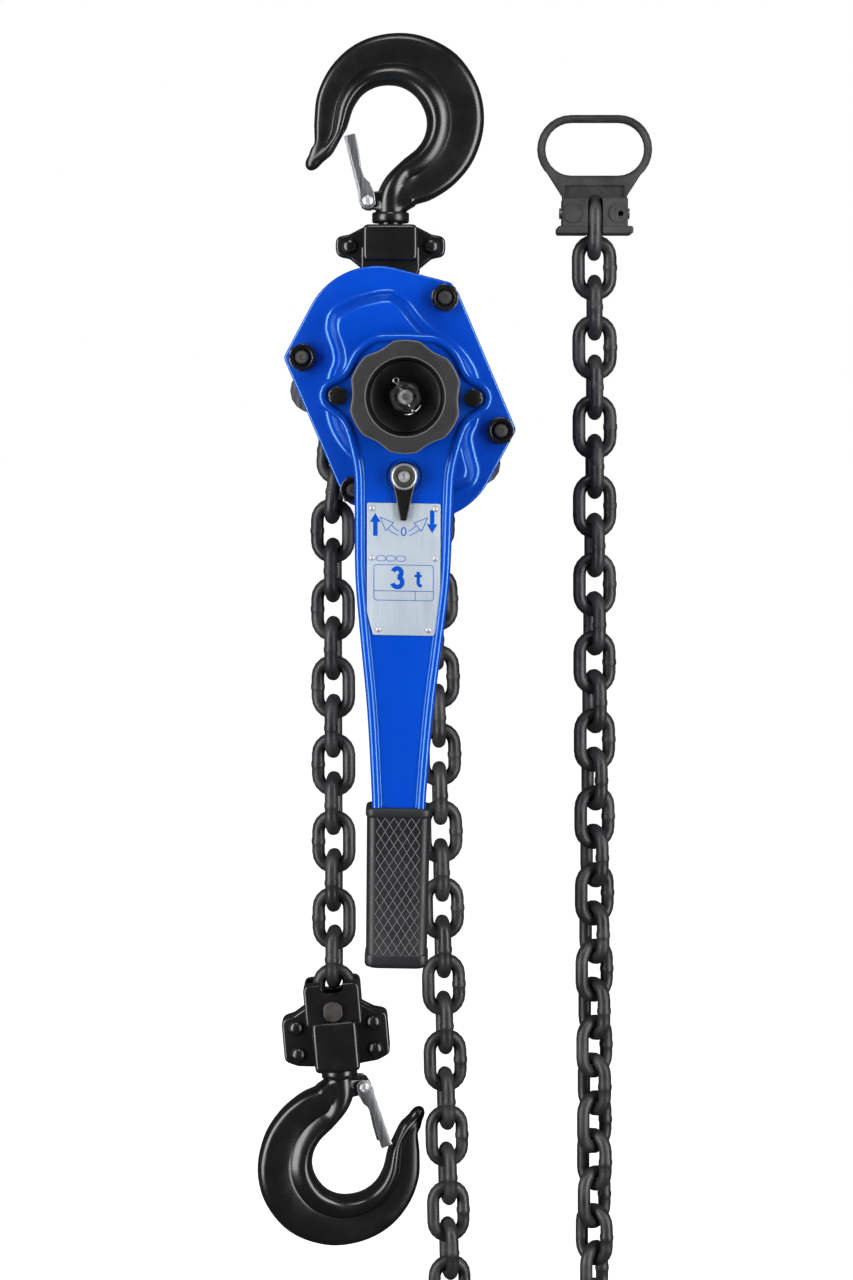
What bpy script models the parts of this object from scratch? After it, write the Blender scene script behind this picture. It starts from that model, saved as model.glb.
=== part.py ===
"""A three-tonne lever chain hoist, hanging from its top hook.

Lengths are in millimetres until a mesh is made. X is to the right, Y goes back and Z is up, and the
origin is the seat of the top hook. The drive axis is parallel to Y, at AXIS_X, AXIS_Z.
"""

import math

import bmesh
import bpy
from mathutils import Matrix, Vector

MM = 0.001
GAP = 0.3

# Drive axis and the depth of each layer, front to back.
AXIS_X = 12.0
AXIS_Z = -233.0
PLATE_IN = 21.0
PLATE_OUT = 27.0
FLANGE = 3.0
COVER_FRONT = -66.0
COVER_BACK = 64.0
WALL = 3.0
LEVER_BACK = -70.0
LEVER_SPLIT = -87.0
LEVER_FRONT = -104.0
WHEEL_BACK = -106.0
WHEEL_FRONT = -137.0

# Chain, 10 x 30.
WIRE = 10.0
STRAND_RADIUS = 5.12
LOOSE_RADIUS = 4.6
PITCH = 30.0
LINK_HALF_WIDTH = 12.0
POCKETS = 5
LINK_STEP = 360.0 / POCKETS / 2
WRAP_START = 177.4
WRAPPED_LINKS = 7
LINK_RADIUS = PITCH / (2 * math.tan(math.radians(LINK_STEP / 2)))
LOAD_TOP = (-35.8, -245.3)
LOAD_BEND = (-45.0, -325.0)
LOAD_LINKS = 16
CHAIN_PIN = (-45.0, -704.0)
SLACK_X = 30.9
LEAD_LINK_Z = -64.1

# Chain end ring.
RING_X = 153.8
RING_PIN_Z = -95.3
END_LINK_Z = -105.7

# Hooks: the bowl's centre is the reference of each hook.
SEAT_TO_BOWL = 28.2
BOWL_TO_PIN = 122.1
LOWER_TILT = 4.7
LOWER_SWIVEL = -10.0
TOP_PIN_Z = -154.0
LATCH_PIVOT = (-17.0, -58.1)

# Gear train: 8 into 32 teeth, then 10 into 30.
MODULE = 1.6
GEAR_CENTRES = 32.0
GEAR_ANGLE = 122.0

LEVER_LEAN = 1.0
GRIP_TOP = -300.0
GRIP_BOTTOM = -419.0

# Route of the slack chain, from the link below the sheave to the link in the end ring.
SLACK_ROUTE = [
    (31.8, -324.6), (34.2, -385), (35.5, -445), (36.7, -505), (37.9, -565), (39.2, -625), (40.4, -685),
    (41.6, -745), (42.9, -805), (44.1, -865), (45.3, -925), (46.2, -962), (50.8, -989.5),
    (63.0, -1007.7), (81.2, -1019.9), (102.7, -1024.2), (124.2, -1019.9), (142.4, -1007.7),
    (154.6, -989.5), (158.9, -962), (158.6, -925), (158.3, -865), (158.0, -805), (157.7, -745),
    (157.3, -685), (157.0, -625), (156.7, -565), (156.4, -505), (156.0, -445), (155.7, -385),
    (155.4, -325), (155.0, -265), (154.7, -205), (154.3, -165), (153.8, -131.6),
]


# ---------------------------------------------------------------- materials


def material(name, color, roughness, metallic):
    made = bpy.data.materials.new(name)
    made.use_nodes = True
    shader = made.node_tree.nodes["Principled BSDF"]
    shader.inputs["Base Color"].default_value = (*color, 1)
    shader.inputs["Roughness"].default_value = roughness
    shader.inputs["Metallic"].default_value = metallic
    made.diffuse_color = (*color, 1)
    return made


def make_materials():
    return {
        "black": material("black_paint", (0.02, 0.02, 0.022), 0.45, 0.3),
        "blue": material("blue_paint", (0.02, 0.06, 0.35), 0.3, 0.0),
        "chain": material("black_oxide", (0.05, 0.05, 0.055), 0.4, 0.8),
        "zinc": material("zinc_plate", (0.65, 0.66, 0.66), 0.3, 1.0),
        "steel": material("machined_steel", (0.5, 0.5, 0.52), 0.3, 1.0),
        "plastic": material("black_plastic", (0.02, 0.02, 0.022), 0.6, 0.0),
        "rubber": material("rubber", (0.03, 0.03, 0.033), 0.8, 0.0),
        "friction": material("friction_lining", (0.18, 0.12, 0.08), 0.9, 0.0),
        "cast": material("cast_iron", (0.09, 0.09, 0.095), 0.7, 0.6),
    }


# ---------------------------------------------------------------- shapes: (vertices, faces)


def loft(rings):
    """Joins closed rings of equal count, and closes both ends."""
    count = len(rings[0])
    verts = [point for ring in rings for point in ring]
    faces = [tuple(range(count)), tuple((len(rings) - 1) * count + i for i in range(count))]
    for level in range(len(rings) - 1):
        for i in range(count):
            j = (i + 1) % count
            a = level * count
            faces.append((a + i, a + j, a + count + j, a + count + i))
    return verts, faces


def prism(outline, y0, y1):
    """An outline in XZ, from y0 to y1."""
    return loft([[(x, y, z) for x, z in outline] for y in (y0, y1)])


def turned(profile, centre=(0.0, 0.0), segments=16, along="Y"):
    """A profile of (radius, position) turned about an axis through centre."""
    verts = []
    rings = []
    for radius, position in profile:
        ring = []
        for i in range(1 if radius == 0 else segments):
            angle = 2 * math.pi * i / segments
            a = centre[0] + radius * math.cos(angle)
            b = centre[1] + radius * math.sin(angle)
            spot = {"Y": (a, position, b), "Z": (a, b, position), "X": (position, a, b)}[along]
            ring.append(len(verts))
            verts.append(spot)
        rings.append(ring)
    faces = []
    for first, second in zip(rings, rings[1:] + rings[:1]):
        if len(first) == 1 and len(second) == 1:
            continue
        for i in range(segments):
            j = (i + 1) % segments
            corners = [first[i % len(first)], first[j % len(first)]]
            corners += [second[j % len(second)], second[i % len(second)]]
            faces.append(tuple(dict.fromkeys(corners)))
    return verts, faces


def rod(radius, y0, y1, centre, segments=12, along="Y"):
    return turned([(0, y0), (radius, y0), (radius, y1), (0, y1)], centre, segments, along)


def washer(inner, outer, y0, y1, centre, segments=18):
    profile = [(inner, y0), (outer, y0), (outer, y1), (inner, y1)]
    return turned(profile, centre, segments)


def together(shapes):
    verts = []
    faces = []
    for more_verts, more_faces in shapes:
        start = len(verts)
        verts += more_verts
        faces += [tuple(start + i for i in face) for face in more_faces]
    return verts, faces


def arc(centre, radius, start, end, steps):
    points = []
    for i in range(steps + 1):
        angle = math.radians(start + (end - start) * i / steps)
        points.append((centre[0] + radius * math.cos(angle), centre[1] + radius * math.sin(angle)))
    return points


def at_axis(points):
    return [(AXIS_X + x, AXIS_Z + z) for x, z in points]


# ---------------------------------------------------------------- objects


def fill_mesh(name, shape, origin):
    mesh = bpy.data.meshes.new(name)
    verts, faces = shape
    place = Vector(origin)
    mesh.from_pydata([(Vector(v) - place) * MM for v in verts], [], faces)
    edit = bmesh.new()
    edit.from_mesh(mesh)
    bmesh.ops.recalc_face_normals(edit, faces=edit.faces)
    edit.to_mesh(mesh)
    edit.free()
    return mesh


def piece(name, shape, mat, origin=(0, 0, 0), parent=None):
    mesh = fill_mesh(name, shape, origin)
    mesh.materials.append(mat)
    mesh.shade_smooth()
    mesh.set_sharp_from_angle(angle=math.radians(35))
    made = bpy.data.objects.new(name, mesh)
    made.location = Vector(origin) * MM
    bpy.context.collection.objects.link(made)
    made.parent = parent
    return made


def boolean(obj, shape, operation):
    """Adds one Boolean, whose other shape is a hidden object with the same origin."""
    name = f"{obj.name}.{operation.lower()}.{len(obj.modifiers)}"
    other = bpy.data.objects.new(name, fill_mesh(name, shape, Vector(obj.location) / MM))
    other.location = obj.location
    other.parent = obj.parent
    other.hide_render = True
    other.display_type = "WIRE"
    bpy.context.collection.objects.link(other)
    modifier = obj.modifiers.new(operation.lower(), "BOOLEAN")
    modifier.operation = operation
    modifier.solver = "EXACT"
    modifier.object = other
    return obj


def add(obj, *shapes):
    return boolean(obj, together(shapes), "UNION")


def cut(obj, *shapes):
    return boolean(obj, together(shapes), "DIFFERENCE")


def axis_point(x=0.0, z=0.0, y=0.0):
    return (AXIS_X + x, y, AXIS_Z + z)


# ---------------------------------------------------------------- chain


def link_shape(centre, along, across, half_width=LINK_HALF_WIDTH, radius=STRAND_RADIUS):
    """One welded link: along is its long direction, across its width."""
    along = Vector(along).normalized()
    across = Vector(across)
    across = (across - along * across.dot(along)).normalized()
    normal = along.cross(across)
    half_straight = PITCH / 2 + WIRE / 2 - half_width
    steps = 4
    stations = []
    for end in (1, -1):
        for i in range(steps + 1):
            angle = -math.pi / 2 + math.pi * i / steps
            out = end * (along * math.cos(angle) + across * math.sin(angle))
            stations.append((end * half_straight * along + half_width * out, out))
    sides = 6
    rings = []
    for spot, out in stations:
        ring = []
        for k in range(sides):
            turn = 2 * math.pi * k / sides
            offset = radius * (out * math.cos(turn) + normal * math.sin(turn))
            ring.append(tuple(Vector(centre) + spot + offset))
        rings.append(ring)
    verts, faces = loft(rings)
    last = (len(rings) - 1) * sides
    faces = faces[2:]
    for i in range(sides):
        j = (i + 1) % sides
        faces.append((last + i, last + j, j, i))
    return verts, faces


def strand(name, links, mat, origin):
    """Links that touch crown to crown, joined into one rigid strand."""
    made = piece(name, together(links[0::2]), mat, origin)
    return add(made, *links[1::2]) if len(links) > 1 else made


def wrapped_links():
    links = []
    for i in range(WRAPPED_LINKS):
        angle = math.radians(WRAP_START - LINK_STEP / 2 - LINK_STEP * i)
        out = Vector((math.cos(angle), 0, math.sin(angle)))
        round_it = Vector((math.sin(angle), 0, -math.cos(angle)))
        flat = i % 2 == 1
        across = Vector((0, 1, 0)) if flat else out
        centre = Vector(axis_point()) + LINK_RADIUS * out
        links.append(link_shape(centre, round_it, across))
    return links


def load_links():
    """The load strand: it leans past the lower stay bolt, then hangs straight down to the chain pin."""
    roll = math.radians(-7)
    down = Vector((0, 0, -1))
    start = Vector((LOAD_TOP[0], 0, LOAD_TOP[1]))
    leaning = Vector((LOAD_BEND[0] - LOAD_TOP[0], 0, LOAD_BEND[1] - LOAD_TOP[1])).normalized()
    joint = start - leaning * PITCH / 2
    links = []
    for i in range(LOAD_LINKS):
        way = leaning if i < 3 else down
        centre = joint + way * PITCH / 2
        joint = centre + way * PITCH / 2
        edge_on = i % 2 == 0
        rolled = 0 if i in (0, LOAD_LINKS - 1) else roll
        angle = rolled + (math.pi / 2 if edge_on else 0)
        links.append(link_shape(centre, way, (math.cos(angle), math.sin(angle), 0)))
    return links


def chain_parts(mats):
    mat = mats["chain"]
    strand("wrapped_chain", wrapped_links(), mat, axis_point())
    strand("load_chain", load_links(), mat, (LOAD_TOP[0], 0, LOAD_TOP[1]))
    lead = link_shape((SLACK_X, 0, AXIS_Z + LEAD_LINK_Z), (0, 0, 1), (0, 1, 0), radius=LOOSE_RADIUS)
    piece("chain_lead_link", lead, mat)
    end_link = link_shape((RING_X, 0, END_LINK_Z), (0, 0, 1), (0, 1, 0), radius=LOOSE_RADIUS)
    piece("chain_end_link", end_link, mat, (RING_X, 0, RING_PIN_Z))
    slack_tube(mat)


def slack_tube(mat):
    """The free chain as a plain tube of the links' outer width."""
    curve = bpy.data.curves.new("slack_chain", "CURVE")
    curve.dimensions = "3D"
    curve.bevel_depth = 0.5 * 33 * MM
    curve.bevel_resolution = 2
    curve.use_fill_caps = True
    points = SLACK_ROUTE
    spline = curve.splines.new("POLY")
    spline.points.add(len(points) - 1)
    for point, (x, z) in zip(spline.points, points):
        point.co = (x * MM, 0, z * MM, 1)
    curve.materials.append(mat)
    bpy.context.collection.objects.link(bpy.data.objects.new("slack_chain", curve))


# ---------------------------------------------------------------- hooks

# Angle about the bowl's centre, inner radius, outer radius, half width at the bead and at the back.
HOOK_STATIONS = [
    (208, 62.5, 67.5, 4, 3), (203, 50, 69, 7.5, 5.5), (197, 40, 66, 9.5, 6.5), (190, 34, 59.8, 11, 7.5),
    (178, 31.3, 57.8, 12, 8), (158, 30, 59.2, 12.5, 8), (136, 29.7, 61.6, 13, 8),
    (114, 29, 64.5, 13, 8), (92, 28.2, 67.4, 13, 8), (70, 27.9, 69.8, 13, 8), (46, 27.4, 71.5, 13, 8),
    (22, 27.1, 71.5, 13, 8), (0, 27.3, 70.4, 13, 8), (-22, 27.2, 68.4, 13, 8.5),
    (-42, 27, 66.2, 12.5, 9), (-60, 27.2, 64.6, 12, 10), (-72, 28.7, 63.4, 12, 11),
]
SHANK_RADIUS = 12.0
COLLAR_RADIUS = 14.0


def hook_section(inner, outer, bead, back):
    """An eight-sided section, widest by the bowl and thinner at the back."""
    span = Vector(outer) - Vector(inner)
    ring = []
    for share, half in ((0, 0.55 * bead), (0.15, bead), (0.8, back), (1, 0.5 * back)):
        spot = Vector(inner) + span * share
        ring.append((spot.x, half, spot.y))
    return ring + [(x, -y, z) for x, y, z in reversed(ring)]


def hook_sections():
    rings = []
    for degrees, inner, outer, bead, back in HOOK_STATIONS:
        angle = math.radians(degrees)
        unit = Vector((math.cos(angle), math.sin(angle)))
        rings.append(hook_section(unit * inner, unit * outer, bead, back))
    rings.append(hook_section((-3, -39), (18.5, -61.5), 12, 11.5))
    rings.append(hook_section((-9.5, -51), (13.5, -64.5), 11.5, 11))
    rings.append(hook_section((-SHANK_RADIUS, -64), (SHANK_RADIUS, -67), 11, 11))
    return rings


def hook(name, mat, place, parent=None):
    """A forged hook in its own frame: bowl centre at the origin, shank down along -Z."""
    made = piece(name, loft(hook_sections()), mat)
    shank = [
        (0, -60), (11.5, -60), (11.5, -65.2), (COLLAR_RADIUS, -65.2), (COLLAR_RADIUS, -74.1),
        (9, -74.1), (9, -86), (13.5, -86), (13.5, -97), (0, -97),
    ]
    add(made, turned(shank, segments=12, along="Z"))
    px, pz = LATCH_PIVOT
    lug = [(-4, -50), (px, pz + 6.5), (px - 4.6, pz + 4.6), (px - 6.5, pz), (px - 4.6, pz - 4.6)]
    lug += [(px, pz - 6.5), (-4, pz - 6.5)]
    add(made, prism(lug, -8.5, 8.5))
    cut(made, rod(2.8, -12, 12, LATCH_PIVOT))
    return put(made, place, parent)


def put(obj, place, parent):
    """Moves an object modelled in its own frame, with its hidden cutters, to its place."""
    for each in [obj] + [m.object for m in obj.modifiers if m.type == "BOOLEAN"]:
        inside = Matrix.Translation(each.location)
        each.parent = parent
        each.matrix_basis = place @ inside
    return obj


def latch(name, mat, place, parent=None):
    """A folded sheet channel that straddles the hook's lug, with its end inside the hook's tip."""
    pivot = Vector(LATCH_PIVOT)
    end = Vector((-31.5, -9.5))
    reach = (end - pivot).length
    along = (end - pivot).normalized()
    right = Vector((along.y, -along.x))

    def spot(s, t):
        return tuple(pivot + along * s + right * t)

    sides = [spot(reach, -3.5), spot(reach, 3), spot(10, 6.5), spot(0, 6.5)]
    around = [spot(-6.5 * math.sin(a), 6.5 * math.cos(a)) for a in (0.8, 1.57, 2.34)]
    made = piece(name, prism(sides + around + [spot(0, -6.5)], -12, 12), mat, (pivot.x, 0, pivot.y))
    hollow = [spot(reach - 4, -1.5), spot(reach - 4, 12), spot(-12, 12), spot(-12, -8), spot(6, -8)]
    hollow += [spot(9, -4.5)]
    cut(made, prism(hollow, -10.2, 10.2))
    cut(made, rod(2.8, -14, 14, LATCH_PIVOT))
    return put(made, place, parent)


def latch_pin(name, mat, place, parent=None):
    heads = [(0, -14.3), (3.8, -14.3), (4, -12.5), (2.4, -12.3), (2.4, 12.3), (4, 12.5), (3.8, 14.3)]
    made = piece(name, turned(heads + [(0, 14.3)], LATCH_PIVOT, 8), mat)
    return put(made, place, parent)


def rivet(name, mat, x, z, half, place=None, parent=None):
    """A rivet with two domed heads."""
    profile = [(0, -half - 4), (4.2, -half - 3), (6, -half - GAP), (4, -half - GAP)]
    profile += [(4, half + GAP), (6, half + GAP), (4.2, half + 3), (0, half + 4)]
    made = piece(name, turned(profile, (x, z), 8), mat)
    return put(made, place, parent) if place else made


def top_hook_parts(mats):
    place = Matrix.Translation((0, 0, -SEAT_TO_BOWL * MM))
    hook("top_hook", mats["black"], place)
    latch("top_latch", mats["zinc"], place)
    latch_pin("top_latch_pin", mats["zinc"], place)


def top_yoke_parts(mats):
    """Two forged halves, riveted round the head of the hook's shank and hung on the top pin."""
    block = [(-20.4, -131.5), (-20.4, -107), (-17, -104.5), (17, -104.5), (20.4, -107), (20.4, -131.5)]
    ears = [(-41.3, -114), (-37, -111.5), (37, -111.5), (41.3, -114), (41.3, -126), (37, -128.5)]
    ears += [(-37, -128.5), (-41.3, -126)]
    neck = [(-22, -120), (22, -120), (22, -138)] + arc((0, TOP_PIN_Z), 13.2, 0, -180, 8)
    neck += [(-22, -138)]
    head_room = [(0, -103), (9.5, -103), (9.5, -113.9), (14.2, -113.9), (14.2, -125.6), (0, -125.6)]
    for name, side in (("top_yoke_front", -1), ("top_yoke_rear", 1)):
        near = side * 0.5 * GAP
        made = piece(name, prism(block, near, side * 24), mats["black"], (0, 0, TOP_PIN_Z))
        add(made, prism(ears, near, side * 9))
        add(made, prism(neck, near, side * 20))
        cut(made, turned(head_room, segments=16, along="Z"))
        holes = [rod(4.3, -30, 30, (x, -120), 10) for x in (-30.6, 30.6)]
        cut(made, rod(6.4, -30, 30, (0, TOP_PIN_Z)), *holes)
    for name, x in (("top_yoke_rivet_left", -30.6), ("top_yoke_rivet_right", 30.6)):
        rivet(name, mats["black"], x, -120, 9)
    half = PLATE_OUT
    piece("top_pin", rod(6, -half, half, (0, TOP_PIN_Z), 16), mats["steel"])


def lower_parts(mats):
    """The bottom block and hook, leaning LOWER_TILT about the chain pin."""
    empty = bpy.data.objects.new("lower_block_axis", None)
    empty.location = Vector((CHAIN_PIN[0], 0, CHAIN_PIN[1])) * MM
    empty.rotation_euler = (0, math.radians(-LOWER_TILT), 0)
    bpy.context.collection.objects.link(empty)
    here = Matrix.Identity(4)
    upper = [(-21.8, -14), (-21.8, 18.5), (-19, 21.3), (19, 21.3), (21.8, 18.5), (21.8, -14)]
    lower = [(-17.4, -10), (17.4, -10), (17.4, -44), (13, -47.9), (-13, -47.9), (-17.4, -44)]
    ears = [(-41, -8), (-37, -4), (37, -4), (41, -8), (41, -39), (37, -43), (-37, -43), (-41, -39)]
    head_room = [(0, -50), (9.5, -50), (9.5, -36.4), (14.2, -36.4), (14.2, -24.7), (0, -24.7)]
    link_room = [(-19.3, 25), (19.3, 25), (19.3, -11), (13, -17.8), (-13, -17.8), (-19.3, -11)]
    spots = [(x, z) for x in (-29.8, 29.8) for z in (-13, -34)]
    for name, side in (("lower_yoke_front", -1), ("lower_yoke_rear", 1)):
        near = side * 0.5 * GAP
        made = piece(name, prism(ears, near, side * 9), mats["black"])
        add(made, prism(upper, near, side * 17))
        add(made, prism(lower, near, side * 21))
        cut(made, turned(head_room, segments=16, along="Z"))
        cut(made, prism(link_room, -7.6, 7.6))
        cut(made, prism([(-9, 12), (9, 12), (9, 25), (-9, 25)], -25, 25))
        cut(made, rod(5.4, -30, 30, (0, 0)), *[rod(4.3, -30, 30, spot, 10) for spot in spots])
        put(made, here, empty)
    for number, (x, z) in enumerate(spots, 1):
        rivet(f"lower_yoke_rivet_{number}", mats["black"], x, z, 9, here, empty)
    profile = [(0, -21), (6, -21), (8, -19.5), (8, -17.3), (5, -17.3), (5, 19.5), (0, 19.5)]
    put(piece("chain_pin", turned(profile, (0, 0), 16), mats["steel"]), here, empty)
    flip = Matrix.Rotation(math.pi, 4, "Y") @ Matrix.Rotation(math.radians(LOWER_SWIVEL), 4, "Z")
    place = Matrix.Translation((0, 0, -BOWL_TO_PIN * MM)) @ flip
    hook("bottom_hook", mats["black"], place, empty)
    latch("bottom_latch", mats["zinc"], place, empty)
    latch_pin("bottom_latch_pin", mats["zinc"], place, empty)


# ---------------------------------------------------------------- frame

STAY_BOLTS = [(28.9, 73.6), (-77.5, 29.4), (70.6, -25.2), (-39.6, -69.3)]
ROLLERS = {"guide_roller_left": (-70.8, 4.6), "guide_roller_right": (54.3, -50.1)}
PLATE_CENTRE = (-4.7, 2.4)
# Angle about the drive axis and radius of the pressed covers' raised part.
DOME = [
    (180, 59.5), (164, 59.5), (153, 60), (147, 65), (140, 77), (133, 84), (125, 84.5), (112, 82),
    (98, 79.5), (90, 72), (80, 60), (69, 54), (44, 54), (18, 55), (-18, 55.5), (-32, 57), (-40, 66),
    (-46, 77), (-52, 82), (-58, 82), (-66, 79), (-73, 68), (-82, 60), (-100, 59), (-120, 60),
    (-140, 60.5), (-160, 60.5),
]


def plate_outline(grow=0.0):
    half = [(-86.4, 26.2), (-84.9, 30.2)] + arc((-17, 38.5), 56.5, 152, 77, 8)
    half += [(38.2, 82.6), (43.6, 75.2)]
    whole = half + [(-x, -z) for x, z in half]
    points = []
    for x, z in whole:
        length = math.hypot(x, z)
        share = (length + grow) / length
        points.append((PLATE_CENTRE[0] + x * share, PLATE_CENTRE[1] + z * share))
    return at_axis(points)


def dome_outline(grow):
    points = []
    for degrees, radius in DOME:
        angle = math.radians(degrees)
        points.append(((radius + grow) * math.cos(angle), (radius + grow) * math.sin(angle)))
    return at_axis(points)


def cover(name, side, depth, mat, bore):
    """A pressed cover: a flat flange with a raised, hollow middle."""
    start = side * (PLATE_OUT + GAP)
    flange_end = start + side * FLANGE
    top = side * depth
    made = piece(name, prism(plate_outline(), start, flange_end), mat)
    outer = [(0.0, flange_end - side), (-2.0, top - side * 8), (-5.0, top - side * 2.5), (-10.0, top)]
    inner = [(-3.5, start - side), (-4.5, top - side * 9), (-7.5, top - side * WALL)]
    add(made, loft([[(x, y, z) for x, z in dome_outline(grow)] for grow, y in outer]))
    cut(made, loft([[(x, y, z) for x, z in dome_outline(grow)] for grow, y in inner]))
    holes = [rod(5.6, start - side * 5, start + side * 5, at_axis([spot])[0], 10) for spot in STAY_BOLTS]
    if bore:
        holes.append(rod(bore, top - side * 10, top + side * 5, (AXIS_X, AXIS_Z), 24))
    return cut(made, *holes)


def gear_spots():
    angle = math.radians(GEAR_ANGLE)
    x = GEAR_CENTRES * math.cos(angle)
    z = GEAR_CENTRES * math.sin(angle)
    return [(x, z), (-x, -z)]


def frame_parts(mats):
    shared = [(spot, 5.4) for spot in STAY_BOLTS] + [(spot, 4.9) for spot in ROLLERS.values()]
    rear_only = [(spot, 5.4) for spot in gear_spots()]
    pawl_posts = [(spot, 3.3) for spot in PAWL_SPOTS]
    for name, side, holes in (("front_plate", -1, shared + pawl_posts), ("rear_plate", 1, shared + rear_only)):
        made = piece(name, prism(plate_outline(-0.5), side * PLATE_IN, side * PLATE_OUT), mats["blue"])
        through = [rod(r, side * 18, side * 30, at_axis([spot])[0], 10) for spot, r in holes]
        through.append(rod(23, side * 18, side * 30, (AXIS_X, AXIS_Z), 18))
        through.append(rod(6.3, side * 18, side * 30, (0, TOP_PIN_Z), 16))
        cut(made, *through)
    cover("brake_cover", -1, -COVER_FRONT, mats["blue"], 20)
    cover("gear_cover", 1, COVER_BACK, mats["blue"], None)
    for number, spot in enumerate(STAY_BOLTS, 1):
        nut = PLATE_OUT + FLANGE + 2 * GAP
        profile = [(0, -41), (5, -41), (5, -nut - 7), (10, -nut - 7), (10, -nut)]
        profile += [(5, -nut), (5, -PLATE_IN + GAP), (5.6, -PLATE_IN + GAP), (5.6, PLATE_IN - GAP)]
        profile += [(5, PLATE_IN - GAP), (5, nut), (10, nut), (10, nut + 7), (0, nut + 7)]
        piece(f"stay_bolt_{number}", turned(profile, at_axis([spot])[0], 8), mats["black"])
    for name, spot in ROLLERS.items():
        end = PLATE_OUT - 0.5
        side = [(4.5, end), (4.5, 20.5), (16.7, 20.5), (16.7, 7.5), (7.5, 6.3)]
        profile = [(0, end)] + side + [(r, -y) for r, y in reversed(side)] + [(0, -end)]
        piece(name, turned(profile, at_axis([spot])[0], 16), mats["steel"], axis_point(*spot))


# ---------------------------------------------------------------- drive train


def gear_outline(teeth, tooth_at, centre, module=MODULE):
    """A slim-toothed spur gear's outline, with one tooth pointing along the angle tooth_at."""
    pitch_radius = teeth * module / 2
    step = 360.0 / teeth
    points = []
    for i in range(teeth):
        middle = tooth_at + i * step
        for share, radius in ((-0.18, -1.25), (-0.06, 0.7), (0.06, 0.7), (0.18, -1.25)):
            angle = math.radians(middle + share * step)
            reach = pitch_radius + radius * module
            points.append((centre[0] + reach * math.cos(angle), centre[1] + reach * math.sin(angle)))
    return points


def sheave_parts(mats):
    """A five-pocket sheave: pentagonal cheeks carry the flat links, and a groove clears the others."""
    origin = axis_point()
    hub = [
        (10.5, -27), (18, -27), (18, -20), (27.5, -20), (27.5, 20), (18, 20), (18, 27), (13.9, 27.5),
        (13.9, 43.5), (10.5, 43.5),
    ]
    made = piece("load_sheave", turned(hub, (AXIS_X, AXIS_Z), 16), mats["steel"], origin)
    corner = 36.2 / math.cos(math.radians(36))
    corners = [WRAP_START - LINK_STEP / 2 + 72 * i for i in range(POCKETS)]
    rim = []
    for degrees in corners:
        for turn in (-3, 3):
            angle = math.radians(degrees + turn)
            rim.append((AXIS_X + corner * math.cos(angle), AXIS_Z + corner * math.sin(angle)))
    add(made, prism(rim, -19, -7), prism(rim, 7, 19))
    cut(made, rod(10.5, -30, 50, (AXIS_X, AXIS_Z), 16))
    for name, side in (("sheave_bearing_front", -1), ("sheave_bearing_rear", 1)):
        ring = washer(18.3, 22.7, side * 21.3, side * 26.8, (AXIS_X, AXIS_Z))
        piece(name, ring, mats["steel"])
    load = piece("load_gear", prism(gear_outline(30, GEAR_ANGLE, (AXIS_X, AXIS_Z)), 31, 43), mats["steel"], origin)
    cut(load, rod(14.2, 28, 46, (AXIS_X, AXIS_Z), 24))


def gear_parts(mats):
    """The drive shaft with its pinion, and the two reduction gears between it and the load gear."""
    origin = axis_point()
    shaft = [(0, -131), (5.8, -131), (5.8, -99), (9.8, -99), (9.8, 45), (4.8, 45), (4.8, 48), (0, 48)]
    made = piece("drive_shaft", turned(shaft, (AXIS_X, AXIS_Z), 16), mats["steel"], origin)
    add(made, prism(gear_outline(8, GEAR_ANGLE, (AXIS_X, AXIS_Z)), 47, 58))
    cut(made, rod(1.5, AXIS_Z - 10, AXIS_Z + 10, (AXIS_X, -119), 8, "Z"))
    for name, spot, facing in (
        ("reduction_gear_upper", gear_spots()[0], GEAR_ANGLE + 180),
        ("reduction_gear_lower", gear_spots()[1], GEAR_ANGLE),
    ):
        centre = at_axis([spot])[0]
        big = prism(gear_outline(32, facing + 180 / 32, centre), 47.3, 57)
        made = piece(name, big, mats["steel"], (centre[0], 0, centre[1]))
        add(made, prism(gear_outline(10, facing + 18, centre), 31, 49))
        add(made, rod(5, 21.6, 60, centre, 12))


def saw_ring(teeth, outer, root, inner, y0, y1):
    """A ring with sawtooth edge."""
    outline = []
    bore = []
    for i in range(teeth):
        for share, radius in ((0.0, outer), (0.12, root), (0.6, 0.5 * (outer + root))):
            angle = 2 * math.pi * (i + share) / teeth
            outline.append((AXIS_X + radius * math.cos(angle), AXIS_Z + radius * math.sin(angle)))
            bore.append((AXIS_X + inner * math.cos(angle), AXIS_Z + inner * math.sin(angle)))
    return ring_prism(outline, bore, y0, y1)


def ring_prism(outline, bore, y0, y1):
    """An outline with a hole, both with the same number of points, from y0 to y1."""
    count = len(outline)
    verts = []
    for points, y in ((outline, y0), (outline, y1), (bore, y1), (bore, y0)):
        verts += [(x, y, z) for x, z in points]
    faces = []
    for level in range(4):
        for i in range(count):
            j = (i + 1) % count
            a = level * count
            b = (level + 1) % 4 * count
            faces.append((a + i, a + j, b + j, b + i))
    return verts, faces


PAWL_SPOTS = [(-43.0, 14.0), (43.0, -14.0)]


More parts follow.
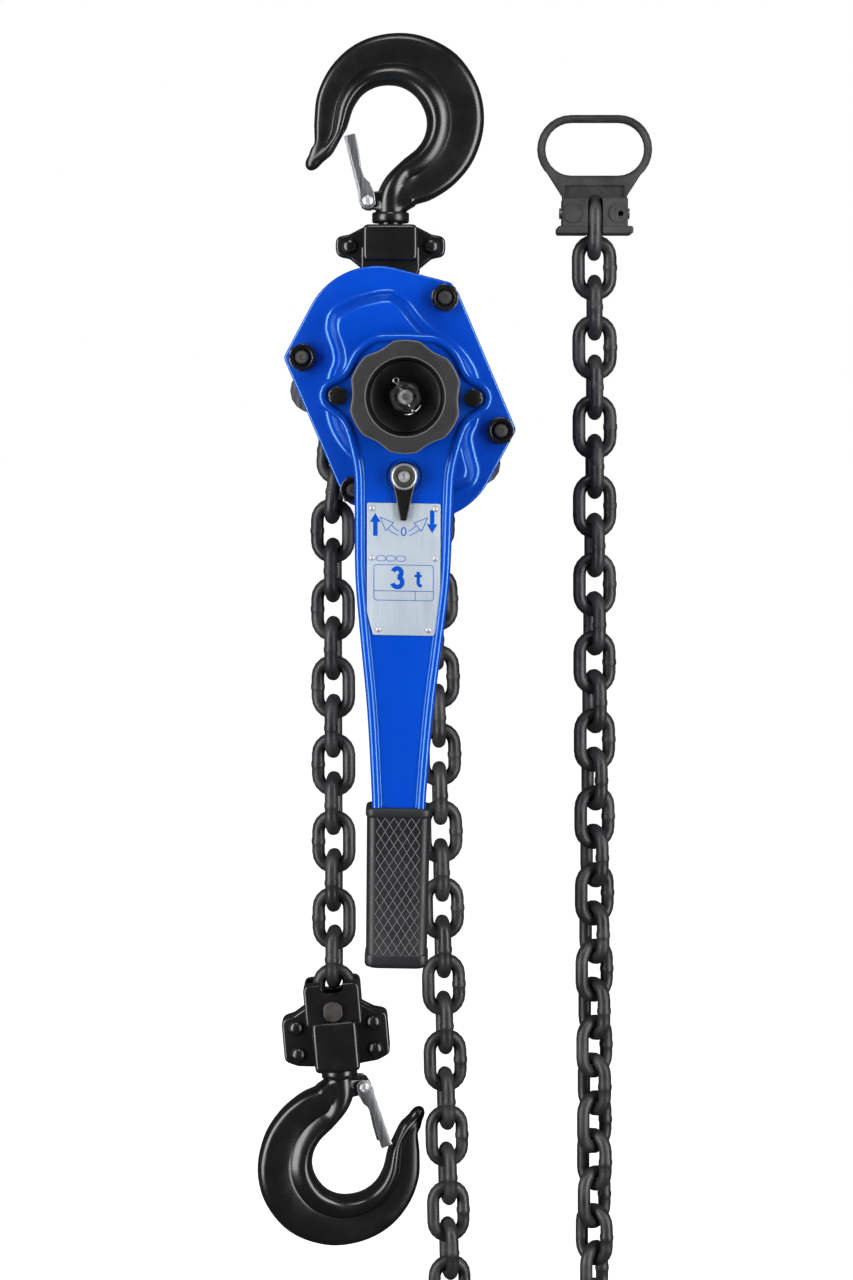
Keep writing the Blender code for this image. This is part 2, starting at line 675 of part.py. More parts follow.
def brake_parts(mats):
    """The load brake: two friction discs clamp the ratchet disc, which two pawls hold."""
    axis = (AXIS_X, AXIS_Z)
    origin = axis_point()
    hub = [(10.1, -51), (13, -51), (13, -34), (26, -34), (26, -30.8), (10.1, -30.8)]
    piece("brake_hub", turned(hub, axis, 24), mats["steel"], origin)
    piece("friction_disc_inner", washer(13.4, 26, -37.3, -34.3, axis), mats["friction"], origin)
    piece("ratchet_disc", saw_ring(12, 34, 29, 13.4, -42, -37.6), mats["steel"], origin)
    piece("friction_disc_outer", washer(13.4, 26, -45.3, -42.3, axis), mats["friction"], origin)
    teeth = 12
    outline = []
    for i in range(teeth):
        for share, radius in ((-0.2, 20.5), (-0.1, 24), (0.1, 24), (0.2, 20.5)):
            angle = 2 * math.pi * (i + share) / teeth
            outline.append((axis[0] + radius * math.cos(angle), axis[1] + radius * math.sin(angle)))
    made = piece("change_gear", prism(outline, -97, -76), mats["steel"], origin)
    sleeve = [(13.4, -50), (13.4, -45.6), (26, -45.6), (26, -50), (18.5, -52), (18.5, -77)]
    sleeve += [(10.1, -77), (10.1, -52), (13.4, -51.4)]
    add(made, turned(sleeve, axis, 16))
    cut(made, rod(10.1, -100, -60, axis, 16))
    for name, (x, z), flip in (
        ("brake_pawl_upper", PAWL_SPOTS[0], 1),
        ("brake_pawl_lower", PAWL_SPOTS[1], -1),
    ):
        shape = [(-4, 3), (4, 4), (6.5, -8), (8.2, -15.5), (6, -16.5), (-2, -9)]
        outline = [(x + flip * a, z + flip * b) for a, b in shape]
        made = piece(name, prism(at_axis(outline), -41.6, -38), mats["steel"], axis_point(x, z))
        add(made, rod(3, -40, -21.5, at_axis([(x, z)])[0], 12))


# ---------------------------------------------------------------- lever, hand wheel, selector

WHEEL_RADIUS = 40.3
WHEEL_LOBES = 6
WHEEL_LOBE_AT = 88.0
WHEEL_SCOOP = 2.5

LEVER_HALF = [
    (8, 45.7), (24, 44), (38, 33), (50, 14.5), (58, 12), (63, 4), (63, -4), (58, -12), (48, -18),
    (40, -38), (36.5, -55), (35.6, -80), (34.4, -130), (30.8, -168), (24.2, -229), (20, -297), (17, -304),
]
SELECTOR_PIVOT = (0.0, -57.2)


def lean(points):
    """Lever outlines lean a little about the drive axis."""
    angle = math.radians(-LEVER_LEAN)
    c = math.cos(angle)
    s = math.sin(angle)
    return at_axis([(x * c - z * s, x * s + z * c) for x, z in points])


def mirrored(half):
    return half + [(-x, z) for x, z in reversed(half)]


def lever_parts(mats):
    origin = axis_point()
    inner = [(6, 41), (22, 39.5), (33, 30), (33, 0), (33, -36), (31, -60), (31, -125), (27, -168)]
    inner += [(20.5, -229), (16, -285)]
    bolts = lean([(-49, 0), (49, 0)])
    for name, y0, y1, wall in (
        ("lever_rear_shell", LEVER_BACK, LEVER_SPLIT + 0.5 * GAP, 1),
        ("lever_front_shell", LEVER_SPLIT - 0.5 * GAP, LEVER_FRONT, -1),
    ):
        made = piece(name, prism(lean(mirrored(LEVER_HALF)), y0, y1), mats["blue"], origin)
        far = y0 - WALL if wall == 1 else y1 + WALL
        near = LEVER_SPLIT + 5 * wall * -1
        cut(made, prism(lean(mirrored(inner)), near, far))
        bore = 19.5 if wall == 1 else 14.0
        holes = [rod(4.4, -115, -60, spot, 10) for spot in bolts]
        cut(made, rod(bore, -115, -60, (AXIS_X, AXIS_Z), 24), *holes)
        if wall == -1:
            cut(made, rod(5.4, -115, -90, lean([SELECTOR_PIVOT])[0], 12))
    for name, spot in (("lever_bolt_left", bolts[0]), ("lever_bolt_right", bolts[1])):
        y = LEVER_FRONT - GAP
        profile = [(0, y - 5), (7.3, y - 5), (7.3, y), (4, y), (4, LEVER_BACK - 1), (0, LEVER_BACK - 1)]
        piece(name, turned(profile, spot, 10), mats["black"], origin)
    selector_parts(mats)
    plate = [(26.9, -76.6), (26.9, -155.7), (21.8, -172.7)]
    shape = prism(lean(mirrored(plate)), LEVER_FRONT - GAP, LEVER_FRONT - GAP - 1)
    piece("name_plate", shape, mats["zinc"], origin)
    grip(mats["rubber"], origin)


def selector_parts(mats):
    pivot = lean([SELECTOR_PIVOT])[0]
    place = (pivot[0], 0, pivot[1])
    x, z = SELECTOR_PIVOT
    finger = arc((x, z), 9.7, 20, 160, 5) + [(x - 7, z - 8), (x - 5, z - 24), (x - 2.5, z - 32)]
    finger += [(x + 2.5, z - 32), (x + 5, z - 24), (x + 7, z - 8)]
    made = piece("selector", prism(lean(finger), LEVER_FRONT - 8, LEVER_FRONT - 1.5), mats["black"], place)
    add(made, rod(5, -113, -93, pivot, 12))
    add(made, turned([(0, -116), (6, -116), (8.5, -114.5), (8.5, -110), (0, -110)], pivot, 12))
    horns = [(-13, 21), (-9, 19), (0, 9), (9, 19), (13, 21), (13, 8), (5, -7), (-5, -7), (-13, 8)]
    pawl = piece("selector_pawl", prism(lean([(x + a, z + b) for a, b in horns]), -92.7, -80), mats["steel"], place)
    cut(pawl, rod(19, -100, -70, at_axis([(0, -28)])[0], 16))


def grip(mat, origin):
    """The rubber sleeve, with a collar at the top and a lip at the bottom."""
    rings = []
    middle = 0.5 * (LEVER_BACK + LEVER_FRONT)
    for z, half, depth in (
        (GRIP_TOP - 5, 23.5, 18), (GRIP_TOP - 6.5, 24.2, 18.5), (GRIP_TOP - 12, 24.2, 18.5),
        (GRIP_TOP - 13.5, 23.4, 17.5), (GRIP_BOTTOM + 11, 22, 16.5), (GRIP_BOTTOM + 9, 22.9, 17.5),
        (GRIP_BOTTOM + 2, 22.9, 17.5), (GRIP_BOTTOM, 21, 15.5),
    ):
        ring = []
        for i in range(16):
            angle = 2 * math.pi * i / 16
            c = math.cos(angle)
            s = math.sin(angle)
            x = half * math.copysign(abs(c) ** 0.5, c)
            y = depth * math.copysign(abs(s) ** 0.5, s)
            spot = lean([(x, z)])[0]
            ring.append((spot[0], middle + y, spot[1]))
        rings.append(ring)
    piece("grip", loft(rings), mat, origin)


def wheel_parts(mats):
    """The lobed hand wheel, with the slotted nut and split pin at the bottom of its cup."""
    axis = (AXIS_X, AXIS_Z)
    origin = axis_point()
    outline = []
    for lobe in range(WHEEL_LOBES):
        middle = WHEEL_LOBE_AT + 360 / WHEEL_LOBES * lobe
        outline += arc(axis, WHEEL_RADIUS, middle - 14, middle + 14, 4)
        outline += arc(axis, WHEEL_RADIUS - WHEEL_SCOOP, middle + 22, middle + 38, 2)
    made = piece("hand_wheel", prism(outline, WHEEL_BACK, WHEEL_FRONT), mats["plastic"], origin)
    cup = [(0, -140), (31, -140), (30, -134), (27, -116), (15, -109.5), (0, -109.5)]
    cut(made, turned(cup, axis, 24))
    cut(made, rod(6.3, -112, -100, axis, 16))
    nut = [(6.1, -109.8), (11, -109.8), (11, -120), (9, -124), (6.1, -124)]
    made = piece("castle_nut", turned(nut, axis, 12), mats["steel"], origin)
    cut(made, rod(1.7, AXIS_Z - 20, AXIS_Z + 20, (AXIS_X, -119), 8, "Z"))
    pin = rod(1.1, AXIS_Z - 14, AXIS_Z + 14, (AXIS_X, -119), 8, "Z")
    piece("cotter_pin", pin, mats["steel"], origin)


# ---------------------------------------------------------------- chain end ring


def stadium(centre, half_length, radius, steps=6):
    x, z = centre
    points = arc((x + half_length, z), radius, -90, 90, steps)
    return points + arc((x - half_length, z), radius, 90, 270, steps)


def ring_parts(mats):
    """The end ring: a flat-topped loop on a slotted base that holds the last link on a pin."""
    middle = -47.3
    outer = stadium((RING_X, middle), 18.0, 25.6, 8)
    inner = stadium((RING_X, middle), 17.6, 19.5, 8)
    origin = (RING_X, 0, RING_PIN_Z)
    made = piece("chain_end_ring", ring_prism(outer, inner, -7, 7), mats["cast"], origin)
    base = [(-33, -68.5), (33, -68.5), (24.5, -81.5), (24.5, -104.5), (28.7, -105.5), (28.7, -111)]
    base += [(-28.7, -111), (-28.7, -105.5), (-24.5, -104.5), (-24.5, -81.5)]
    add(made, prism([(RING_X + x, z) for x, z in base], -15, 15))
    slot = arc((0, -85), 6.2, 0, 180, 6) + [(-6.2, -120), (6.2, -120)]
    cut(made, prism([(RING_X + x, z) for x, z in slot], -20, 20))
    cut(made, prism([(RING_X + x, z) for x, z in [(-20, -108.6), (20, -108.6), (20, -120), (-20, -120)]], -11, 11))
    cut(made, rod(4.3, RING_X - 40, RING_X + 40, (0, RING_PIN_Z), 12, "X"))
    profile = [(0, RING_X - 26.5), (4, RING_X - 26.5), (4, RING_X + 26.5), (0, RING_X + 26.5)]
    piece("chain_end_pin", turned(profile, (0, RING_PIN_Z), 12, "X"), mats["steel"], origin)


def main():
    for old in list(bpy.data.objects):
        bpy.data.objects.remove(old, do_unlink=True)
    mats = make_materials()
    top_hook_parts(mats)
    top_yoke_parts(mats)
    frame_parts(mats)
    chain_parts(mats)
    sheave_parts(mats)
    gear_parts(mats)
    brake_parts(mats)
    lever_parts(mats)
    wheel_parts(mats)
    ring_parts(mats)
    lower_parts(mats)


main()
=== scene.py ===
"""The looks of the lever chain hoist: its shells, forgings, chain, grip, materials, light and camera.

Lengths are in millimetres until a mesh is made. X is to the right, Y goes back and Z is up, and the
origin is the seat of the top hook. The drive axis is parallel to Y, at AXIS_X, AXIS_Z.
"""

import math

import bmesh
import bpy
from mathutils import Matrix, Vector

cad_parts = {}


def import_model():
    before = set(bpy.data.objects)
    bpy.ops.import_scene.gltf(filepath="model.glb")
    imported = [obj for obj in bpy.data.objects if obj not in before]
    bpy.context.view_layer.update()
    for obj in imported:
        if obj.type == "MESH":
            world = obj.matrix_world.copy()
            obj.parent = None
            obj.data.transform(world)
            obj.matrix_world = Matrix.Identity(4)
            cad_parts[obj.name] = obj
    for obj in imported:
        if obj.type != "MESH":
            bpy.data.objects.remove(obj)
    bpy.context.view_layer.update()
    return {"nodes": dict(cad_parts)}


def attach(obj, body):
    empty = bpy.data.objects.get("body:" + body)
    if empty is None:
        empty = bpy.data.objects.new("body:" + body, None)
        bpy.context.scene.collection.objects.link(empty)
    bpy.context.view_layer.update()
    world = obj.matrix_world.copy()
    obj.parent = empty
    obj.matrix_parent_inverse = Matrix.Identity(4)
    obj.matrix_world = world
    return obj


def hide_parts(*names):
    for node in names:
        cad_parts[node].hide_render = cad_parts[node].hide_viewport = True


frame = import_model()

MM = 0.001
# Clearance between pieces that are bolted or pressed together.
GAP = 0.3

# The drive axis, and the depths of the body, the lever and the hand wheel.
AXIS_X = 12.0
AXIS_Z = -233.0
AXIS = (AXIS_X, AXIS_Z)
ORIGIN = (0.0, 0.0)
PLATE_OUT = 27.0
FLANGE = 3.0
COVER_FRONT = -66.0
COVER_BACK = 64.0
LEVER_BACK = -70.0
LEVER_SPLIT = -87.0
LEVER_FRONT = -104.0
LEVER_FLOOR = -101.2
WHEEL_BACK = -106.0
WHEEL_FRONT = -137.0
BEAD_PROUD = 0.25

# The chain's wire and links, and where each strand starts, bends and ends.
WIRE = 10.0
PITCH = 30.0
LINK_HALF_WIDTH = 12.0
LINK_STEP = 36.0
WRAP_START = 177.4
WRAPPED_LINKS = 7
LINK_RADIUS = PITCH / (2 * math.tan(math.radians(LINK_STEP / 2)))
LOAD_TOP = (-35.8, -245.3)
LOAD_BEND = (-45.0, -325.0)
LOAD_LINKS = 16
CHAIN_PIN = (-45.0, -704.0)
SLACK_X = 30.9
LEAD_LINK_Z = -64.1
SLACK_LINKS = 56
BIGHT_TOP = -940

# The end ring's middle, and the heights of its loop, its pin and the last link.
RING_X = 153.8
RING_LOOP_Z = -47.3
RING_PIN_Z = -95.3
END_LINK_Z = -105.7

# The pin in the top yoke, the hooks' own heights, and how the bottom hook hangs.
TOP_PIN_Z = -154.0
SEAT_TO_BOWL = 28.2
BOWL_TO_PIN = 122.1
LOWER_TILT = 4.7
LOWER_SWIVEL = -10.0
# The latch's pivot and end, from the centre of the hook's bowl.
LATCH_PIVOT = (-17.0, -58.1)
LATCH_END = (-31.5, -9.5)

# The lever's lean in degrees, its grip, and its selector's place below the drive axis.
LEVER_LEAN = 1.0
GRIP_TOP = -300.0
GRIP_BOTTOM = -419.0
SELECTOR_PIVOT = (0.0, -57.2)
LEVER_BEAD = 3.4
# The name plate's top edge, and how much less it leans than the lever.
PLATE_TOP = -76.6
PLATE_STRAIGHTER = 0.0145

# Route of the slack chain, from the link below the sheave to the link in the end ring. Points below
# BIGHT_TOP are raised or lowered until a whole number of links fits.
SLACK_ROUTE = [
    (30.9, -312.1), (31.8, -335), (34.2, -385), (35.5, -445), (36.7, -505), (37.9, -565), (39.2, -625),
    (40.4, -685), (41.6, -745), (42.9, -805), (44.1, -865), (45.3, -925), (46.2, -962), (50.8, -989.5),
    (63.0, -1007.7), (81.2, -1019.9), (102.7, -1024.2), (124.2, -1019.9), (142.4, -1007.7),
    (154.6, -989.5), (158.9, -962), (158.6, -925), (158.3, -865), (158.0, -805), (157.7, -745),
    (157.3, -685), (157.0, -625), (156.7, -565), (156.4, -505), (156.0, -445), (155.7, -385),
    (155.4, -325), (155.0, -265), (154.7, -205), (154.3, -165), (153.8, -120.7),
]


# ---------------------------------------------------------------- materials


def new_material(name, color, roughness, metallic=0.0):
    made = bpy.data.materials.new(name)
    made.use_nodes = True
    shader = made.node_tree.nodes["Principled BSDF"]
    shader.inputs["Base Color"].default_value = (*color, 1)
    shader.inputs["Roughness"].default_value = roughness
    shader.inputs["Metallic"].default_value = metallic
    return made, shader


class Nodes:
    """Adds procedural detail to one material."""

    def __init__(self, made, shader):
        self.tree = made.node_tree
        self.shader = shader
        self.coordinates = self.tree.nodes.new("ShaderNodeTexCoord").outputs["Object"]

    def link(self, output, socket):
        self.tree.links.new(output, socket)

    def stretched(self, scale):
        mapping = self.tree.nodes.new("ShaderNodeMapping")
        mapping.inputs["Scale"].default_value = scale
        self.link(self.coordinates, mapping.inputs["Vector"])
        return mapping.outputs["Vector"]

    def noise(self, scale, detail=3.0, vector=None):
        made = self.tree.nodes.new("ShaderNodeTexNoise")
        made.inputs["Scale"].default_value = scale
        made.inputs["Detail"].default_value = detail
        self.link(vector or self.coordinates, made.inputs["Vector"])
        return made.outputs["Fac"]

    def ramp(self, value, low, high, start=0.0, end=1.0):
        """Value from low..high becomes start..end."""
        made = self.tree.nodes.new("ShaderNodeMapRange")
        made.inputs["From Min"].default_value = low
        made.inputs["From Max"].default_value = high
        made.inputs["To Min"].default_value = start
        made.inputs["To Max"].default_value = end
        self.link(value, made.inputs["Value"])
        return made.outputs["Result"]

    def mix(self, share, first, second):
        """Mixes two colours, each a tuple or an output."""
        made = self.tree.nodes.new("ShaderNodeMix")
        made.data_type = "RGBA"
        self.link(share, made.inputs["Factor"])
        for socket, value in (("A", first), ("B", second)):
            target = [s for s in made.inputs if s.name == socket and s.type == "RGBA"][0]
            if isinstance(value, tuple):
                target.default_value = (*value, 1)
            else:
                self.link(value, target)
        return [s for s in made.outputs if s.type == "RGBA"][0]

    def bump(self, height, strength, distance):
        made = self.tree.nodes.new("ShaderNodeBump")
        made.inputs["Strength"].default_value = strength
        made.inputs["Distance"].default_value = distance
        self.link(height, made.inputs["Height"])
        self.link(made.outputs["Normal"], self.shader.inputs["Normal"])


def painted(name, color, worn, roughness, tint, shine, texture, bump):
    """Paint with slight shade changes, small worn flecks and an uneven gloss."""
    made, shader = new_material(name, color, roughness)
    shader.inputs["Specular Tint"].default_value = (*tint, 1)
    shader.inputs["Specular IOR Level"].default_value = shine
    nodes = Nodes(made, shader)
    shade = nodes.ramp(nodes.noise(14.0), 0.3, 0.7)
    darker = tuple(0.86 * c for c in color)
    base = nodes.mix(shade, darker, color)
    flecks = nodes.ramp(nodes.noise(900.0, 4.0), 0.73, 0.77)
    nodes.link(nodes.mix(flecks, base, worn), shader.inputs["Base Color"])
    gloss = nodes.ramp(nodes.noise(60.0, 5.0), 0.3, 0.7, 0.8 * roughness, 1.25 * roughness)
    nodes.link(gloss, shader.inputs["Roughness"])
    nodes.bump(nodes.noise(texture, 2.0), bump, 0.0004)
    return made


def forged(name, color, light, roughness, metallic, grain, bump):
    """Dark steel with lighter rubbed patches, fine scale marks and an uneven sheen."""
    made, shader = new_material(name, color, roughness, metallic)
    nodes = Nodes(made, shader)
    patches = nodes.ramp(nodes.noise(45.0, 6.0), 0.42, 0.72)
    base = nodes.mix(patches, color, light)
    pits = nodes.ramp(nodes.noise(420.0, 3.0), 0.62, 0.7)
    dark = tuple(0.45 * c for c in color)
    nodes.link(nodes.mix(pits, base, dark), shader.inputs["Base Color"])
    sheen = nodes.ramp(nodes.noise(90.0, 4.0), 0.3, 0.7, 0.78 * roughness, 1.3 * roughness)
    nodes.link(sheen, shader.inputs["Roughness"])
    nodes.bump(nodes.noise(grain, 4.0), bump, 0.0005)
    return made


def brushed(name, color, dark, roughness, metallic, stretch):
    """Metal with fine parallel marks."""
    made, shader = new_material(name, color, roughness, metallic)
    nodes = Nodes(made, shader)
    marks = nodes.noise(1.0, 5.0, nodes.stretched(stretch))
    patches = nodes.ramp(nodes.noise(35.0, 4.0), 0.35, 0.75)
    base = nodes.mix(nodes.ramp(marks, 0.3, 0.7), dark, color)
    nodes.link(nodes.mix(patches, base, color), shader.inputs["Base Color"])
    sheen = nodes.ramp(marks, 0.25, 0.75, 0.75 * roughness, 1.35 * roughness)
    nodes.link(sheen, shader.inputs["Roughness"])
    nodes.bump(marks, 0.12, 0.0002)
    return made


def speckled(name, color, light, roughness, scale, bump):
    """Moulded plastic or rubber with a fine grain and pale specks."""
    made, shader = new_material(name, color, roughness)
    nodes = Nodes(made, shader)
    specks = nodes.ramp(nodes.noise(scale, 2.0), 0.5, 0.72)
    nodes.link(nodes.mix(specks, color, light), shader.inputs["Base Color"])
    sheen = nodes.ramp(nodes.noise(70.0), 0.3, 0.7, 0.85 * roughness, 1.2 * roughness)
    nodes.link(sheen, shader.inputs["Roughness"])
    nodes.bump(nodes.noise(scale, 3.0), bump, 0.0003)
    return made


# Colour, worn colour, roughness, tint and strength of the sheen, grain and depth of the texture.
PAINTS = {
    "blue_paint": ((0.0, 0.055, 0.5), (0.02, 0.12, 0.6), 0.2, (0.4, 0.85, 1.0), 1.0, 500.0, 0.02),
    "black_paint": ((0.005, 0.005, 0.0055), (0.02, 0.02, 0.022), 0.25, (1, 1, 1), 0.7, 260.0, 0.08),
    "print_blue": ((0.0, 0.06, 0.42), (0.05, 0.12, 0.5), 0.5, (0.2, 0.6, 1.0), 0.4, 400.0, 0.02),
}
# Colour, rubbed colour, roughness, metal, grain and depth of the texture.
FORGINGS = {
    "black_chain": ((0.026, 0.026, 0.028), (0.06, 0.06, 0.062), 0.42, 0.35, 320.0, 0.22),
    "cast_steel": ((0.02, 0.02, 0.021), (0.042, 0.042, 0.043), 0.6, 0.1, 700.0, 0.45),
    "pin_steel": ((0.07, 0.066, 0.06), (0.14, 0.135, 0.12), 0.5, 0.8, 500.0, 0.3),
}
# Colour, darker colour, roughness, metal and the marks' scale along each axis.
METALS = {
    "zinc_plate": ((0.42, 0.43, 0.44), (0.32, 0.33, 0.34), 0.34, 1.0, (500, 500, 60)),
    "machined_steel": ((0.5, 0.5, 0.51), (0.3, 0.3, 0.31), 0.3, 1.0, (300, 900, 300)),
    "brushed_plate": ((0.5, 0.57, 0.64), (0.42, 0.49, 0.56), 0.42, 0.4, (1500, 40, 40)),
    "satin_steel": ((0.5, 0.51, 0.52), (0.4, 0.41, 0.42), 0.3, 0.5, (500, 500, 60)),
}
# Colour, specks' colour, roughness, grain and depth of the texture.
MOULDINGS = {
    "black_plastic": ((0.009, 0.009, 0.0095), (0.03, 0.03, 0.032), 0.55, 1600.0, 0.35),
    "grip_rubber": ((0.011, 0.0115, 0.013), (0.022, 0.0225, 0.025), 0.42, 1200.0, 0.2),
    "friction_lining": ((0.18, 0.12, 0.08), (0.3, 0.22, 0.14), 0.85, 900.0, 0.5),
    # The next look is painted shade: a darker black for the inside of the hand wheel's cup.
    "recess_painted_shade": ((0.004, 0.004, 0.0045), (0.01, 0.01, 0.011), 0.4, 1200.0, 0.15),
    # The next look is a painted highlight: lighter grey on the grip's lattice, on the hand wheel's rounded
    # front edge and on its bead.
    "grey_painted_highlight": ((0.12, 0.12, 0.123), (0.18, 0.18, 0.184), 0.6, 1200.0, 0.2),
}
looks = {}
for make, table in ((painted, PAINTS), (forged, FORGINGS), (brushed, METALS), (speckled, MOULDINGS)):
    looks.update({name: make(name, *values) for name, values in table.items()})


# ---------------------------------------------------------------- outlines


def heading(angle):
    return Vector((math.cos(angle), math.sin(angle)))


def polar(centre, radius, degrees):
    angle = math.radians(degrees)
    return centre[0] + radius * math.cos(angle), centre[1] + radius * math.sin(angle)


def arc(centre, radius, start, end, steps):
    return [polar(centre, radius, start + (end - start) * i / steps) for i in range(steps + 1)]


def between(a, b, c, d, t):
    """A point on the smooth line from b to c, whose neighbours are a and d."""
    square = 2 * a - 5 * b + 4 * c - d
    cube = 3 * b - a - 3 * c + d
    return 0.5 * (2 * b + (c - a) * t + square * t * t + cube * t ** 3)


def round_corners(points, radius, steps=4):
    """The closed outline with each corner turned into a short curve."""
    count = len(points)
    made = []
    for i, point in enumerate(points):
        here = Vector(point)
        before = Vector(points[i - 1]) - here
        after = Vector(points[(i + 1) % count]) - here
        half = before.angle(after) / 2
        reach = radius / max(math.tan(half), 0.05)
        reach = min(reach, 0.48 * before.length, 0.48 * after.length)
        if reach < 0.02:
            made.append(tuple(point))
            continue
        start = here + before.normalized() * reach
        end = here + after.normalized() * reach
        for k in range(steps + 1):
            t = k / steps
            spot = (1 - t) ** 2 * start + 2 * t * (1 - t) * here + t * t * end
            made.append(tuple(spot))
    return made


def smooth_closed(points, steps=6):
    """A smooth closed line through the points, steady where short and long steps meet."""
    count = len(points)
    made = []
    for i in range(count):
        a, b, c, d = (Vector(points[(i + k) % count]) for k in (-1, 0, 1, 2))
        before, here, after = ((q - p).length ** 0.5 for p, q in ((a, b), (b, c), (c, d)))
        leaving = here * ((b - a) / before - (c - a) / (before + here)) + (c - b)
        arriving = here * ((d - c) / after - (d - b) / (here + after)) + (c - b)
        for k in range(steps):
            t = k / steps
            rise = 3 * t * t - 2 * t ** 3
            bend = leaving * (t - 2 * t * t + t ** 3) + arriving * (t ** 3 - t * t)
            made.append(tuple(b + (c - b) * rise + bend))
    return made


def offset(outline, inward):
    """The outline moved inward by that much, with the same number of points."""
    count = len(outline)
    area = sum(a[0] * b[1] - b[0] * a[1] for a, b in zip(outline, outline[1:] + outline[:1]))
    turn = 1 if area > 0 else -1
    made = []
    for i in range(count):
        here = Vector(outline[i])
        first = (here - Vector(outline[i - 1])).normalized()
        second = (Vector(outline[(i + 1) % count]) - here).normalized()
        side = Vector((-first.y, first.x)) * turn
        normal = (side + Vector((-second.y, second.x)) * turn).normalized()
        made.append(tuple(here + normal * inward / max(0.5, normal.dot(side))))
    return made


def at_axis(points):
    return [(AXIS_X + x, AXIS_Z + z) for x, z in points]


def lean(points):
    """Lever outlines lean a little about the drive axis."""
    angle = math.radians(-LEVER_LEAN)
    c = math.cos(angle)
    s = math.sin(angle)
    return at_axis([(x * c - z * s, x * s + z * c) for x, z in points])


def mirrored(half):
    return half + [(-x, z) for x, z in reversed(half)]


# ---------------------------------------------------------------- shapes: (vertices, faces)


def loft(rings, closed=False):
    """Joins rings of equal count. Both ends are closed, or the last ring meets the first."""
    count = len(rings[0])
    verts = [tuple(point) for ring in rings for point in ring]
    faces = []
    if not closed:
        faces = [tuple(range(count)), tuple((len(rings) - 1) * count + i for i in range(count))]
    for level in range(len(rings) if closed else len(rings) - 1):
        a = level * count
        b = (level + 1) % len(rings) * count
        for i in range(count):
            j = (i + 1) % count
            faces.append((a + i, a + j, b + j, b + i))
    return verts, faces


def ring_at(outline, y):
    return [(x, y, z) for x, z in outline]


def extruded(outline, depths):
    return loft([ring_at(outline, y) for y in depths])


def inset_rings(outline, profile):
    """Rings of the outline, each moved inward and to its own depth."""
    return [ring_at(offset(outline, inward), y) for inward, y in profile]


def pressed(outline, profile):
    return loft(inset_rings(outline, profile))


def edge_profile(y0, y1, radius, steps=3):
    """A straight wall from y0 to y1 with both edges rounded."""
    way = 1 if y1 > y0 else -1
    profile = []
    for i in range(steps + 1):
        angle = math.pi / 2 * i / steps
        profile.append((radius * (1 - math.sin(angle)), y0 + way * radius * (1 - math.cos(angle))))
    return profile + [(d, y1 - (y - y0)) for d, y in reversed(profile)]


def slab(outline, y0, y1, radius=1.0, corner=0.0):
    """A flat plate with rounded edges, and rounded corners if corner isn't 0."""
    points = round_corners(outline, corner) if corner else outline
    return pressed(points, edge_profile(y0, y1, radius))


def turned(profile, centre=ORIGIN, segments=48, along="Y"):
    """A profile of (radius, position) turned about an axis through centre."""
    verts = []
    rings = []
    for radius, position in profile:
        ring = []
        for i in range(1 if radius == 0 else segments):
            angle = 2 * math.pi * i / segments
            a = centre[0] + radius * math.cos(angle)
            b = centre[1] + radius * math.sin(angle)
            spot = {"Y": (a, position, b), "Z": (a, b, position), "X": (position, a, b)}[along]
            ring.append(len(verts))
            verts.append(spot)
        rings.append(ring)
    faces = []
    for first, second in zip(rings, rings[1:] + rings[:1]):
        if len(first) == 1 and len(second) == 1:
            continue
        for i in range(segments):
            j = (i + 1) % segments
            corners = [first[i % len(first)], first[j % len(first)]]
            corners += [second[j % len(second)], second[i % len(second)]]
            faces.append(tuple(dict.fromkeys(corners)))
    return verts, faces


def disc(radius, y0, y1, centre, segments=48, along="Y"):
    return turned([(0, y0), (radius, y0), (radius, y1), (0, y1)], centre, segments, along)


def together(shapes):
    verts = []
    faces = []
    for more_verts, more_faces in shapes:
        start = len(verts)
        verts += more_verts
        faces += [tuple(start + i for i in face) for face in more_faces]
    return verts, faces


def tube(points, radius, sides=10):
    """A round wire along points in space, with closed ends."""
    points = [Vector(p) for p in points]
    rings = []
    side = None
    for i, here in enumerate(points):
        way = points[min(i + 1, len(points) - 1)] - points[max(i - 1, 0)]
        way.normalize()
        if side is None:
            side = way.orthogonal().normalized()
        side = (side - way * side.dot(way)).normalized()
        up = way.cross(side)
        ring = []
        for k in range(sides):
            angle = 2 * math.pi * k / sides
            ring.append(tuple(here + radius * (side * math.cos(angle) + up * math.sin(angle))))
        rings.append(ring)
    return loft(rings)


# ---------------------------------------------------------------- pieces


def fill_mesh(name, shape, place):
    mesh = bpy.data.meshes.new(name)
    verts, faces = shape
    mesh.from_pydata([(place @ Vector(v)) * MM for v in verts], [], faces)
    edit = bmesh.new()
    edit.from_mesh(mesh)
    bmesh.ops.recalc_face_normals(edit, faces=edit.faces)
    edit.to_mesh(mesh)
    edit.free()
    return mesh


def apply_modifiers(obj):
    evaluated = obj.evaluated_get(bpy.context.evaluated_depsgraph_get())
    obj.data = bpy.data.meshes.new_from_object(evaluated)
    obj.modifiers.clear()


def boolean(obj, shape, operation, place):
    other = bpy.data.objects.new("cutter", fill_mesh("cutter", shape, place))
    bpy.context.scene.collection.objects.link(other)
    modifier = obj.modifiers.new("boolean", "BOOLEAN")
    modifier.operation = operation
    modifier.solver = "EXACT"
    modifier.object = other
    apply_modifiers(obj)
    bpy.data.objects.remove(other)


